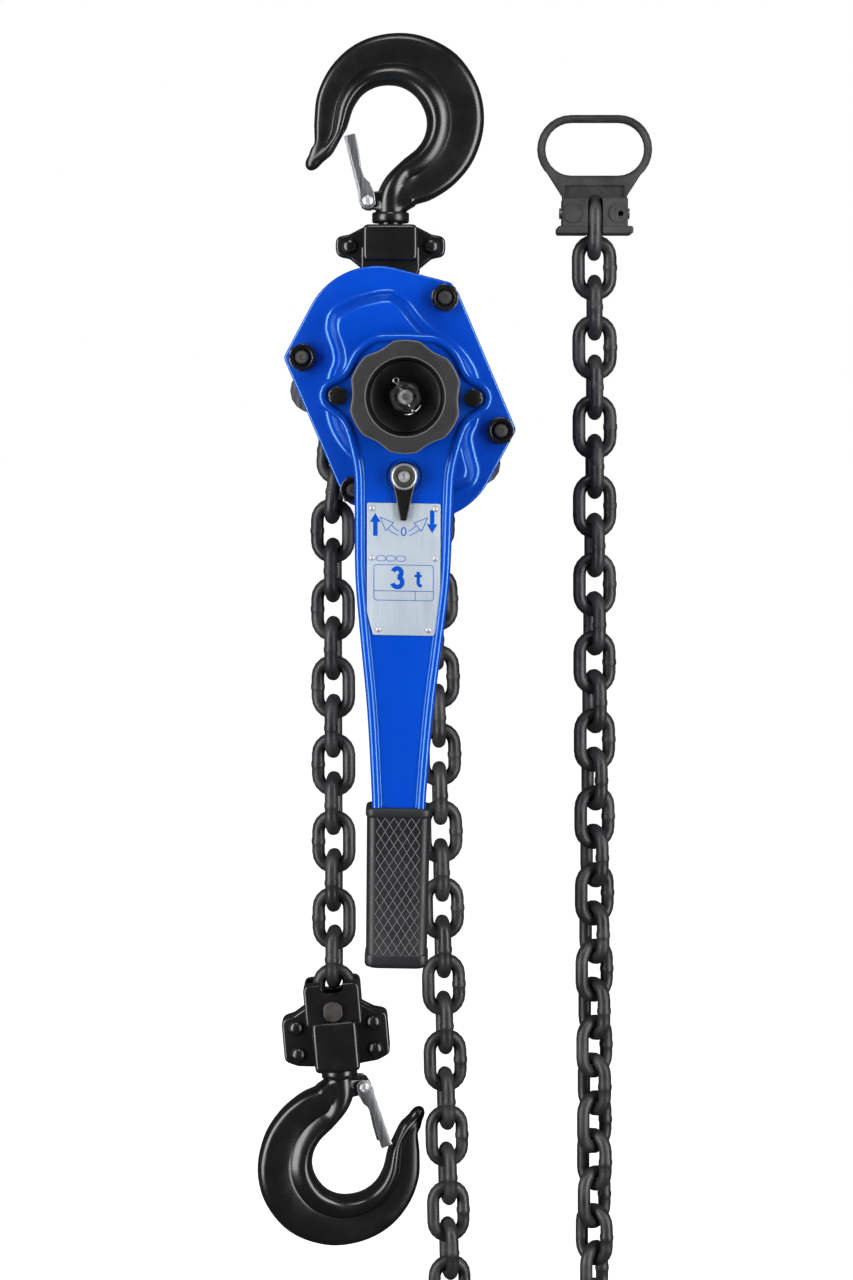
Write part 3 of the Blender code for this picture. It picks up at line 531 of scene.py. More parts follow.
def piece(name, shape, slot, body, replaces=(), place=Matrix.Identity(4), look=None, joins=(), cuts=(),
          bevel=0.0, sharp=42):
    """One visible piece: its mesh, its finish, the CAD body it rides on and the nodes it stands for."""
    mesh = fill_mesh(name, shape, place)
    mesh.materials.append(looks[look or slot])
    obj = bpy.data.objects.new(name, mesh)
    bpy.context.scene.collection.objects.link(obj)
    for other in joins:
        boolean(obj, other, "UNION", place)
    for other in cuts:
        boolean(obj, other, "DIFFERENCE", place)
    if bevel:
        rounding = obj.modifiers.new("rounding", "BEVEL")
        rounding.width = bevel * MM
        rounding.segments = 3
        rounding.limit_method = "ANGLE"
        rounding.angle_limit = math.radians(40)
        apply_modifiers(obj)
    obj.data.shade_smooth()
    obj.data.set_sharp_from_angle(angle=math.radians(sharp))
    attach(obj, body)
    if replaces:
        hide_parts(*([replaces] if isinstance(replaces, str) else replaces))
    return obj


# ---------------------------------------------------------------- chain


def link_shape(centre, along, across, half_width=LINK_HALF_WIDTH, radius=WIRE / 2, weld=1):
    """One welded link. Its weld is a low collar in the middle of the side that weld, 1 or -1, gives."""
    along = Vector(along).normalized()
    across = Vector(across)
    across = (across - along * across.dot(along)).normalized()
    normal = along.cross(across)
    half_straight = PITCH / 2 + WIRE / 2 - half_width
    collar = [(2.6, 0.0), (1.9, 0.35), (0.8, 0.5), (-0.8, 0.5), (-1.9, 0.35), (-2.6, 0.0)]
    stations = []
    bend_steps = 10
    for end in (1, -1):
        for i in range(bend_steps + 1):
            angle = -math.pi / 2 + math.pi * i / bend_steps
            out = end * (along * math.cos(angle) + across * math.sin(angle))
            stations.append((end * half_straight * along + half_width * out, out, radius))
        if end == weld:
            for spot, swell in collar:
                out = end * across
                stations.append((half_width * out + end * spot * along, out, radius + swell))
    sides = 14
    rings = []
    for spot, out, thick in stations:
        ring = []
        for k in range(sides):
            turn = 2 * math.pi * k / sides
            round_wire = out * math.cos(turn) + normal * math.sin(turn)
            ring.append(tuple(Vector(centre) + spot + thick * round_wire))
        rings.append(ring)
    return loft(rings, closed=True)


def wrapped_links():
    links = []
    for i in range(WRAPPED_LINKS):
        angle = math.radians(WRAP_START - LINK_STEP / 2 - LINK_STEP * i)
        out = Vector((math.cos(angle), 0, math.sin(angle)))
        round_it = Vector((math.sin(angle), 0, -math.cos(angle)))
        across = Vector((0, 1, 0)) if i % 2 == 1 else out
        centre = Vector((AXIS_X, 0, AXIS_Z)) + LINK_RADIUS * out
        links.append(link_shape(centre, round_it, across))
    return links


def load_links():
    roll = math.radians(-7)
    down = Vector((0, 0, -1))
    start = Vector((LOAD_TOP[0], 0, LOAD_TOP[1]))
    leaning = Vector((LOAD_BEND[0] - LOAD_TOP[0], 0, LOAD_BEND[1] - LOAD_TOP[1])).normalized()
    joint = start - leaning * PITCH / 2
    links = []
    for i in range(LOAD_LINKS):
        way = leaning if i < 3 else down
        centre = joint + way * PITCH / 2
        joint = centre + way * PITCH / 2
        rolled = 0 if i in (0, LOAD_LINKS - 1) else roll
        angle = rolled + (math.pi / 2 if i % 2 == 0 else 0)
        links.append(link_shape(centre, way, (math.cos(angle), math.sin(angle), 0), weld=-1))
    return links


def smooth_route(points, steps=24):
    """A smooth line through the points."""
    points = [Vector(p) for p in points]
    padded = [2 * points[0] - points[1]] + points + [2 * points[-1] - points[-2]]
    line = []
    for a, b, c, d in zip(padded, padded[1:], padded[2:], padded[3:]):
        line += [between(a, b, c, d, k / steps) for k in range(steps)]
    return line + [points[-1]]


def march(line, step, count):
    """Points at equal straight steps along the line, and how far it still is to the line's end."""
    spots = [line[0]]
    at = 0
    for _ in range(count):
        while at < len(line) - 1 and (line[at + 1] - spots[-1]).length < step:
            at += 1
        if at == len(line) - 1:
            return spots, (line[-1] - spots[-1]).length - step * (count + 1 - len(spots))
        low = line[at]
        high = line[at + 1]
        for _ in range(30):
            middle = (low + high) / 2
            if (middle - spots[-1]).length < step:
                low = middle
            else:
                high = middle
        spots.append(high)
    return spots, (line[-1] - spots[-1]).length


def slack_joints():
    """Where the slack links meet, and the route with its bight at the depth that fits them."""
    drop = 0.0
    for _ in range(25):
        points = [(x, z - (drop if z < BIGHT_TOP else 0.0)) for x, z in SLACK_ROUTE]
        spots, spare = march(smooth_route(points), PITCH, SLACK_LINKS)
        if abs(spare) < 0.2:
            break
        drop -= 0.5 * spare
    return spots, points


def slack_links(spots):
    """Each link is turned a quarter from the last, and the strand has a slow twist on top."""
    # Share of the strand's length, and the twist there in degrees.
    twists = [(0.0, 0.0), (0.47, 17.0), (0.56, 45.0), (0.9, 84.0), (1.0, 90.0)]
    links = []
    for i in range(SLACK_LINKS):
        share = (i + 1) / (SLACK_LINKS + 1)
        for (s0, t0), (s1, t1) in zip(twists, twists[1:]):
            if s0 <= share <= s1:
                twist = t0 + (t1 - t0) * (share - s0) / (s1 - s0)
        a = Vector((spots[i].x, 0, spots[i].y))
        b = Vector((spots[i + 1].x, 0, spots[i + 1].y))
        way = (b - a).normalized()
        in_plane = Vector((-way.z, 0, way.x))
        angle = math.radians(twist + 90 * ((i + 1) % 2 + 1))
        across = in_plane * math.cos(angle) + Vector((0, 1, 0)) * math.sin(angle)
        links.append(link_shape((a + b) / 2, way, across, weld=-1 if way.z < 0 else 1))
    return links


def chain():
    piece("wrapped_links", together(wrapped_links()), "black_chain", "sheave", "wrapped_chain")
    piece("load_links", together(load_links()), "black_chain", "load_chain", "load_chain")
    lead = link_shape((SLACK_X, 0, AXIS_Z + LEAD_LINK_Z), (0, 0, 1), (0, 1, 0))
    piece("lead_link", lead, "black_chain", "hoist_body", "chain_lead_link")
    end = link_shape((RING_X, 0, END_LINK_Z), (0, 0, 1), (0, 1, 0))
    piece("end_link", end, "black_chain", "end_link", "chain_end_link")
    spots, points = slack_joints()
    slack = piece("slack_links", together(slack_links(spots)), "black_chain", "hoist_body", "slack_chain")
    line = smooth_route(points, 4)


# ---------------------------------------------------------------- hooks

# Angle about the bowl's centre, inner radius, outer radius, half width at the bead and at the back.
HOOK_STATIONS = [
    (194, 37.2, 59.2, 10, 7), (187, 33.4, 57.8, 11.2, 7.6), (178, 31.3, 57.4, 12, 8),
    (158, 30, 59.2, 12.5, 8), (136, 29.7, 61.6, 13, 8),
    (114, 29, 64.5, 13, 8), (92, 28.2, 66.7, 13, 8), (70, 27.9, 69.2, 13, 8), (46, 27.4, 71.5, 13, 8),
    (22, 27.1, 71.5, 13, 8), (0, 27.3, 70.4, 13, 8), (-22, 27.2, 68.4, 13, 8.5),
    (-42, 27, 66.2, 12.5, 9), (-60, 27.2, 64.6, 12, 10), (-72, 28.7, 63.4, 12, 11),
]
# Share of the way from the bowl to the back, and the half width there: bead, groove, web, back edge.
HOOK_PROFILE = [
    (0, 0), (0.02, 5.2), (0.06, 9.2), (0.12, 12), (0.18, 13), (0.25, 12.6), (0.32, 11), (0.39, 9),
    (0.42, 7.6), (0.47, 8.3), (0.85, 8), (0.93, 7), (0.98, 4.5), (1, 0),
]
BEAD = 13.0
BACK = 8.0
# The tip's sections from its rounded end: two ends of each, half width at the bead and roundness.
TIP = [
    ((-60.9, -34.8), (-59.8, -34.9), 0.9, 1.0), ((-62.6, -33.9), (-58.0, -34.6), 2.8, 1.0),
    ((-63.9, -32.0), (-55.6, -33.4), 4.6, 1.0), ((-64.2, -29.4), (-53.2, -31.2), 5.6, 1.0),
    ((-63.4, -26.6), (-51.0, -28.8), 6.4, 0.9), ((-61.6, -23.2), (-47.6, -26.0), 7.4, 0.7),
    ((-60.0, -18.8), (-43.2, -21.6), 8.6, 0.45),
]


def hook_ring(inner, outer, bead, back, roundness):
    """A section between two points. Roundness 0 is the forged profile and 1 is a circle."""
    inner = Vector(inner)
    span = Vector(outer) - inner
    front = []
    last = len(HOOK_PROFILE) - 1
    for k, (share, half) in enumerate(HOOK_PROFILE):
        blend = min(1.0, max(0.0, (share - 0.35) / 0.3))
        half *= (1 - blend) * bead / BEAD + blend * back / BACK
        circle_share = 0.5 * (1 - math.cos(math.pi * k / last))
        circle_half = 0.5 * span.length * math.sin(math.pi * k / last)
        s = share + (circle_share - share) * roundness
        h = half + (circle_half - half) * roundness
        spot = inner + span * s
        front.append((spot.x, -h, spot.y))
    return front + [(x, -y, z) for x, y, z in reversed(front[1:-1])]


def hook_rings():
    """The hook from its tip to the head of its shank."""
    ends = []
    for degrees, inner, outer, bead, back in HOOK_STATIONS:
        unit = heading(math.radians(degrees))
        ends.append((*(unit * inner), *(unit * outer), bead, back, 0.0))
    tip = [(*inner, *outer, half, 0.8 * half, roundness) for outer, inner, half, roundness in TIP]
    ends.append((-3, -39, 18.5, -61.5, 12, 11.5, 0.3))
    ends.append((-9.5, -51, 13.5, -64.5, 11.5, 11, 0.7))
    ends.append((-11.7, -63.5, 11.7, -66, 11, 11, 1.0))
    vectors = [Vector(e) for e in tip + ends]
    padded = [vectors[0]] + vectors + [vectors[-1]]
    rings = []
    steps = 5
    for a, b, c, d in zip(padded, padded[1:], padded[2:], padded[3:]):
        for k in range(steps):
            v = between(a, b, c, d, k / steps)
            rings.append(hook_ring(v[0:2], v[2:4], v[4], v[5], min(1.0, max(0.0, v[6]))))
    shank = [
        (11.5, -66.3), (13.2, -66.3), (14, -67), (14, -73.2), (13.2, -74.1), (9, -74.1), (9, -86),
        (13.2, -86), (13.5, -86.6), (13.5, -96.2), (12.6, -97),
    ]
    rings += [hook_ring((-r, z), (r, z), r, r, 1.0) for r, z in shank]
    return rings


def hook(name, place):
    x, z = LATCH_PIVOT
    lug = [(-4, -50), (x + 1, z + 6.5), (x - 4.6, z + 5), (x - 6.5, z), (x - 4.6, z - 5), (-4, z - 6.5)]
    piece(
        name + "_forging", loft(hook_rings()), "black_paint", name, name, place,
        joins=[slab(lug, -8.5, 8.5, 1.2, 2)], sharp=50,
    )


def latch_frame():
    """The latch's own directions: from its pivot to its end, and towards the bowl."""
    pivot = Vector(LATCH_PIVOT)
    end = Vector(LATCH_END)
    along = (end - pivot).normalized()
    right = Vector((along.y, -along.x))
    return pivot, along, right, (end - pivot).length


def latch(name, place):
    """A folded sheet channel with two cheeks, narrow in the waist and wide at both ends."""
    pivot, along, right, length = latch_frame()

    def spots(pairs):
        return [tuple(pivot + along * s + right * t) for s, t in pairs]

    cheek = [
        (length, -3.5), (length, 5.4), (length - 12, 4.2), (26, 2.2), (17, 2.6), (12, 5.4), (4, 6.4),
        (-4, 5), (-6.4, 0), (-4.6, -4.4), (2, -6.4), (9, -5),
    ]
    web = [(length, -3.5), (length, -1.7), (9, -3.4), (1, -4.7), (1, -6.4), (9, -5.2)]
    fold_end = length - 0.4
    fold_painted_highlight = [(fold_end, -3.7), (fold_end, -1.5), (9, -3.3), (2, -5.2), (2, -6.5), (9, -5.4)]
    cheeks = [slab(spots(cheek), side * 10.2, side * 12, 0.5, 1.8) for side in (-1, 1)]
    sheet = slab(spots(web), -11.6, 11.6, 0.15, 0.4)
    edge = slab(spots(fold_painted_highlight), -12.3, 12.3, 0.3, 0.3)
    piece(name + "_sheet", sheet, "zinc_plate", name, name, place, joins=cheeks)
    # The fold's strip takes the brighter satin steel look: a painted highlight along the latch's folded
    # edge.
    piece(name + "_fold", edge, "zinc_plate", name, place=place, look="satin_steel")


def latch_pin(name, body, place):
    heads = [
        (0, -14.3), (1.6, -14.3), (2.2, -14.0), (2.6, -14.2), (3.7, -13.6), (4, -12.5), (2.4, -12.3),
    ]
    shape = turned(heads + [(r, -y) for r, y in reversed(heads)], LATCH_PIVOT, 24)
    piece(name + "_rivet", shape, "zinc_plate", body, name, place, look="satin_steel")


def latch_spring(name, body, place):
    """A coil spring round the latch's pin, with one leg on the web and a short one by the hook."""
    pivot, along, right, _ = latch_frame()
    first = -9.85
    steps = 48
    coils = 2
    leg = pivot + along * 11 - right * 2.4
    points = [(leg.x, first, leg.y)]
    for i in range(steps + 1):
        angle = 2 * math.pi * coils * i / steps
        spot = pivot + 3.4 * (-right * math.cos(angle) + along * math.sin(angle))
        points.append((spot.x, first + i / steps, spot.y))
    leg = pivot + right * 5 - along * 1.5
    points.append((leg.x, first + 1, leg.y))
    piece(name, tube(points, 0.25, 8), "zinc_plate", body, place=place)


# ---------------------------------------------------------------- yokes


def rivet(name, x, z, half, body, place=Matrix.Identity(4)):
    """A rivet with two domed heads."""
    seat = -half - GAP
    dome = [(0, -half - 4)]
    dome += [(6 * math.sin(a), seat - 3.7 * math.cos(a)) for a in (0.35, 0.7, 1.05, 1.4)]
    dome += [(6, seat), (4, seat)]
    profile = dome + [(r, -y) for r, y in reversed(dome)]
    piece(name.replace("rivet", "stud"), turned(profile, (x, z), 32), "black_paint", body, name, place)


def yoke_halves(name, body, place, parts, cuts):
    """Both halves of a yoke. Each part is an outline, its depth, edge radius and corner radius."""
    for half, side in (("front", -1), ("rear", 1)):
        near = side * 0.5 * GAP
        first, *others = [slab(line, near, side * depth, *radii) for line, depth, *radii in parts]
        piece(
            f"{name}_{half}_half", first, "black_paint", body, f"{name}_{half}", place,
            joins=others, cuts=cuts,
        )


def top_yoke():
    block = [(-20.4, -131.5), (-20.4, -104.5), (20.4, -104.5), (20.4, -131.5)]
    ears = mirrored([(-20, -105.5), (-31, -111.2), (-41.3, -113), (-41.3, -127), (-31, -129), (-20, -138)])
    neck = [(-22, -120), (22, -120), (22, -138)] + arc((0, TOP_PIN_Z), 13.2, 0, -180, 12) + [(-22, -138)]
    head_room = [(0, -103), (9.5, -103), (9.5, -113.9), (14.2, -113.9), (14.2, -125.6), (0, -125.6)]
    yoke_halves(
        "top_yoke", "top_yoke", Matrix.Identity(4),
        [(block, 24, 2.6, 4.5), (ears, 9, 2.0, 7), (neck, 20, 1.6, 3)],
        [turned(head_room, segments=32, along="Z"), disc(6.4, -30, 30, (0, TOP_PIN_Z))],
    )
    for side, x in (("left", -30.6), ("right", 30.6)):
        rivet(f"top_yoke_rivet_{side}", x, -120, 9, "top_yoke")


def lower_place():
    tilt = Matrix.Rotation(math.radians(-LOWER_TILT), 4, "Y")
    return Matrix.Translation((CHAIN_PIN[0], 0, CHAIN_PIN[1])) @ tilt


def lower_yoke():
    place = lower_place()
    upper = [(-21.8, -14), (-21.8, 21.3), (21.8, 21.3), (21.8, -14)]
    lower = [(-17.4, -8), (17.4, -8), (17.4, -47.9), (-17.4, -47.9)]
    ears = mirrored([(-19, 4), (-31, -3.4), (-41, -6), (-41, -39), (-31, -43.5), (-17, -45)])
    head_room = [(0, -50), (9.5, -50), (9.5, -36.4), (14.2, -36.4), (14.2, -24.7), (0, -24.7)]
    link_room = [(-19.3, 25), (19.3, 25), (19.3, -11), (13, -17.8), (-13, -17.8), (-19.3, -11)]
    notch = round_corners([(-9, 12), (9, 12), (9, 30), (-9, 30)], 5)
    yoke_halves(
        "lower_yoke", "lower_block", place,
        [(upper, 17, 2.2, 5.5), (ears, 9, 2.0, 6), (lower, 21, 3.0, 4.5)],
        [
            turned(head_room, segments=32, along="Z"), slab(link_room, -7.6, 7.6, 1.5, 4),
            slab(notch, -25, 25, 0.2),
        ],
    )
    spots = [(x, z) for x in (-29.8, 29.8) for z in (-13, -34)]
    for number, (x, z) in enumerate(spots, 1):
        rivet(f"lower_yoke_rivet_{number}", x, z, 9, "lower_block", place)
    round_head = arc(ORIGIN, 7.9, 0, 352.5, 47)
    head = [(min(max(x, -7.2), 7.2), z) for x, z in round_head]
    piece(
        "chain_pin_forged", slab(head, -21, -17.3, 0.8), "machined_steel", "lower_block", "chain_pin",
        place, look="pin_steel", joins=[disc(5, -18, 19.5, ORIGIN, 32)],
    )


def hooks():
    top = Matrix.Translation((0, 0, -SEAT_TO_BOWL))
    flip = Matrix.Rotation(math.pi, 4, "Y") @ Matrix.Rotation(math.radians(LOWER_SWIVEL), 4, "Z")
    low = lower_place() @ Matrix.Translation((0, 0, -BOWL_TO_PIN)) @ flip
    for end, place in (("top", top), ("bottom", low)):
        hook(f"{end}_hook", place)
        latch(f"{end}_latch", place)
        latch_pin(f"{end}_latch_pin", f"{end}_hook", place)
        latch_spring(f"{end}_latch_spring", f"{end}_latch", place)


# ---------------------------------------------------------------- frame

STAY_BOLTS = [(28.9, 73.6), (-77.5, 29.4), (70.6, -25.2), (-39.6, -69.3)]
PLATE_CENTRE = (-4.7, 2.4)
# Angle about the drive axis and radius of the pressed covers' raised part.
DOME = [
    (180, 59.5), (164, 59.5), (153, 60), (147, 65), (140, 77), (133, 84), (125, 84.5), (112, 82),
    (98, 79.5), (90, 72), (80, 60), (69, 54), (44, 54), (18, 55), (-18, 55.5), (-32, 57), (-40, 66),
    (-46, 77), (-52, 82), (-58, 82), (-66, 79), (-73, 68), (-82, 60), (-100, 59), (-120, 60),
    (-140, 60.5), (-160, 60.5),
]
SPOKES = 288


def plate_outline():
    half = [(-87.2, 27)] + arc((-17, 38.5), 56.5, 152, 77, 18) + [(38.2, 82.6), (43.6, 75.2)]
    whole = half + [(-x, -z) for x, z in half]
    return [(PLATE_CENTRE[0] + x, PLATE_CENTRE[1] + z) for x, z in round_corners(whole, 5)]


def dome_points():
    return smooth_closed([polar(ORIGIN, radius, degrees) for degrees, radius in DOME])


def reach(outline, angle):
    """How far the outline is from the drive axis in that direction."""
    ray = heading(angle)
    found = 0.0
    for a, b in zip(outline, outline[1:] + outline[:1]):
        edge = Vector(b) - Vector(a)
        cross = ray.x * edge.y - ray.y * edge.x
        if abs(cross) < 1e-9:
            continue
        along = (a[0] * edge.y - a[1] * edge.x) / cross
        share = (a[0] * ray.y - a[1] * ray.x) / cross
        if along > 0 and 0 <= share <= 1:
            found = max(found, along)
    return found


def spoke_outline(outline):
    """The outline as seen from the drive axis, at equal angles, so that any two can be joined."""
    angles = [2 * math.pi * i / SPOKES for i in range(SPOKES)]
    return [tuple(reach(outline, angle) * heading(angle)) for angle in angles]


def cover(name, node, side, depth, bore):
    """A pressed cover: a flat flange, a fillet, a sloping wall and a soft shoulder round a flat top."""
    start = PLATE_OUT + GAP
    flat = start + FLANGE
    plate = spoke_outline(plate_outline())
    dome = spoke_outline(dome_points())

    def round_ring(radius, y):
        return ring_at(arc(AXIS, radius, 0, 360, SPOKES)[:-1], side * y)

    def outline_ring(outline, inward, y, share=1.0):
        scaled = [(share * x, share * z) for x, z in offset(outline, inward)]
        return ring_at(at_axis(scaled), side * y)

    # How far inward of the dome's line, the depth, and the line's own scale.
    wall = [
        (7.0, depth, 0.9), (7.0, depth - 0.15, 0.935), (7.0, depth - 0.7, 0.965), (7.0, depth - 1.8, 0.987),
        (6.8, depth - 3.4, 1.0), (6.0, depth - 5.6, 1.0), (2.6, flat + 5.0, 1.0), (1.8, flat + 2.8, 1.0),
        (0.6, flat + 1.2, 1.0), (-1.2, flat + 0.3, 1.0), (-3.4, flat, 1.0),
    ]
    rim = [
        (1.6, flat), (0.7, flat - 0.3), (0.15, flat - 0.9), (0.0, flat - 1.5), (0.2, start + 0.3),
        (0.7, start),
    ]
    inside = [
        (4.5, start, 1.0), (6.0, flat + 4, 1.0), (7.0, depth - 5.5, 0.96), (7.0, depth - FLANGE, 0.9),
    ]
    hole = [(bore, depth - FLANGE), (bore, depth - 0.6), (bore + 0.6, depth)]
    rings = [round_ring(radius, y) for radius, y in hole]
    rings += [outline_ring(dome, *station) for station in wall]
    rings += [outline_ring(plate, inward, y) for inward, y in rim]
    rings += [outline_ring(dome, *station) for station in inside]
    shape = loft(rings, closed=bore > 2)
    piece(name, shape, "blue_paint", "hoist_body", node, sharp=60)


def hex_reach(angle, flats):
    """A hexagon's reach in that direction, with one corner at angle 0."""
    step = math.pi / 3
    inside = (angle % step) - step / 2
    return 0.5 * flats / math.cos(inside)


def hex_rings(centre, flats, sections, turn=0.0, count=72):
    """Rings of a hexagon whose corners are cut back to each section's radius."""
    rings = []
    for radius, y in sections:
        ring = []
        for i in range(count):
            angle = 2 * math.pi * i / count
            r = min(radius, hex_reach(angle + turn, flats))
            ring.append((centre[0] + r * math.cos(angle), y, centre[1] + r * math.sin(angle)))
        rings.append(ring)
    return rings


def stay_bolts():
    """Each stay bolt with its flanged nuts and its threaded ends."""
    seat = PLATE_OUT + FLANGE + 2 * GAP
    stud_end = PLATE_OUT + 14
    flange = [
        (5.2, seat), (9.4, seat), (10, seat + 0.6), (10, seat + 1.6), (9.0, seat + 2.3), (5.2, seat + 2.3),
    ]
    nut = [
        (5.4, seat + 2.0), (11, seat + 2.0), (11, seat + 6.0), (10.2, seat + 6.6), (9.2, seat + 7.0),
        (7.6, seat + 7.0), (6.6, seat + 6.2), (5.4, seat + 6.0),
    ]
    end = []
    y = seat + 4.0
    while y < stud_end - 1.5:
        end += [(5.0, y), (4.4, y + 0.5)]
        y += 1.0
    end += [
        (4.8, stud_end - 1.0), (4.1, stud_end - 0.2), (2.0, stud_end), (1.6, stud_end - 0.5),
        (0, stud_end - 0.5),
    ]
    front = [(r, -y) for r, y in reversed(end)] + [(5, -seat), (5, -20.6), (5.6, -20.6)]
    back = [(5.6, 20.6), (5, 20.6), (5, seat)] + end
    for number, spot in enumerate(STAY_BOLTS, 1):
        centre = at_axis([spot])[0]
        turn = math.radians(17 * number)
        shapes = []
        for side in (-1, 1):
            shapes.append(turned([(r, side * y) for r, y in flange], centre, 40))
            rings = hex_rings(centre, 19.0, [(r, side * y) for r, y in nut], turn)
            shapes.append(loft(rings, closed=True))
        stud = turned(front + back, centre, 28)
        piece(f"stay_{number}", together(shapes), "black_paint", "hoist_body", f"stay_bolt_{number}")
        piece(f"stay_stud_{number}", stud, "black_paint", "hoist_body", look="pin_steel")


def hoist_frame():
    cover("brake_side_cover", "brake_cover", -1, -COVER_FRONT, 20)
    cover("gear_side_cover", "gear_cover", 1, COVER_BACK, 1)
    stay_bolts()


# ---------------------------------------------------------------- lever

LEVER_HALF = [
    (8, 45.7), (24, 44), (38, 33), (46.5, 17.5), (55, 12.8), (61, 7.4), (63.4, 0), (61, -7.4), (55, -12.8),
    (46.5, -20), (40, -38), (36.5, -55), (35.6, -80), (34.4, -130), (30.8, -168), (24.2, -229),
    (20, -290), (19.2, -303), (16.5, -312), (11, -317.5), (4, -320),
]
# Where cutters start and end, in front of and behind what they cut.
CUT_FRONT = -115.0
CUT_BACK = -90.0


def lever_outline():
    return smooth_closed(lean(mirrored(LEVER_HALF)), 5)


def lever_shells():
    """Two pressed shells. The front one has a raised bead round a recessed face."""
    outline = lever_outline()
    front = LEVER_FRONT
    floor = LEVER_FLOOR
    split = LEVER_SPLIT - 0.5 * GAP
    round_over = [math.radians(15 * k) for k in range(10)]
    inner = [(8.0, floor + 2.8), (5.2, front + 5.5), (2.8, front + 7.0), (2.2, split)]
    bead = [(LEVER_BEAD * (1 - math.cos(a)), front + LEVER_BEAD * (1 - math.sin(a))) for a in round_over]
    step = [(6.5, front + 2.2), (7.0, front + 2.65), (7.5, floor)]
    shape = pressed(outline, inner + [(0.0, split)] + bead + step)
    pivot = lean([SELECTOR_PIVOT])[0]
    recess = [
        (0, CUT_FRONT), (14.4, CUT_FRONT), (14.4, floor - 0.04), (13.6, floor + 0.1), (12.9, floor + 0.45),
        (12.3, floor + 1.1), (11.2, floor + 1.4), (0, floor + 1.4),
    ]
    shaft_hole = disc(14.5, CUT_FRONT, CUT_BACK, AXIS)
    pivot_hole = disc(5.4, CUT_FRONT, CUT_BACK, pivot)
    piece(
        "lever_front", shape, "blue_paint", "lever", "lever_front_shell",
        cuts=[shaft_hole, turned(recess, pivot, 64), pivot_hole],
    )
    back = LEVER_BACK
    split = LEVER_SPLIT + 0.5 * GAP
    lining = [(6.0, back - 2.8), (3.2, back - 4.5), (2.3, back - 6.5)]
    outer = [(2.2, split), (0.0, split), (0.0, back - 3), (0.4, back - 1.4), (1.4, back - 0.4), (3, back)]
    piece(
        "lever_rear", pressed(outline, lining + outer), "blue_paint", "lever", "lever_rear_shell",
        cuts=[disc(19.5, -80, -60, AXIS)],
    )
    sections = [
        (0.8, floor - 5.4), (5.9, floor - 5.4), (6.6, floor - 5.1), (7.1, floor - 4.6), (7.1, floor - GAP),
        (4, floor - GAP), (4, back - 1),
    ]
    for side, spot in zip(("left", "right"), lean([(-49, 0), (49, 0)])):
        head = loft(hex_rings(spot, 12.4, sections, math.radians(20)))
        piece(f"lever_screw_{side}", head, "black_paint", "lever", f"lever_bolt_{side}")


def on_plate(points):
    """The name plate is riveted a little straighter than the lever."""
    return lean([(x + PLATE_STRAIGHTER * (PLATE_TOP - z), z) for x, z in points])


def strokes(lines, depth, centre=ORIGIN, height=1.0):
    """Flat strokes on the plate, each a line of some width through points."""
    shapes = []
    for points, width in lines:
        line = [Vector((centre[0] + x * height, centre[1] + z * height)) for x, z in points]
        left = []
        right = []
        for i, point in enumerate(line):
            way = (line[min(i + 1, len(line) - 1)] - line[max(i - 1, 0)]).normalized()
            side = Vector((-way.y, way.x)) * 0.5 * width
            left.append(tuple(point + side))
            right.append(tuple(point - side))
        shapes.append(extruded(on_plate(left + right[::-1]), depth))
    return shapes


def hollow_box(middle, half_width, half_height, corner, steps, line, depth):
    """A thin closed line round a box on the plate."""
    x, z = middle
    low = z - half_height
    high = z + half_height
    right = x + half_width
    left = x - half_width
    outline = round_corners([(left, low), (right, low), (right, high), (left, high)], corner, steps)
    profile = ((0.0, depth[0]), (0.0, depth[1]), (line, depth[1]), (line, depth[0]))
    return loft([ring_at(on_plate(offset(outline, inward)), y) for inward, y in profile], closed=True)


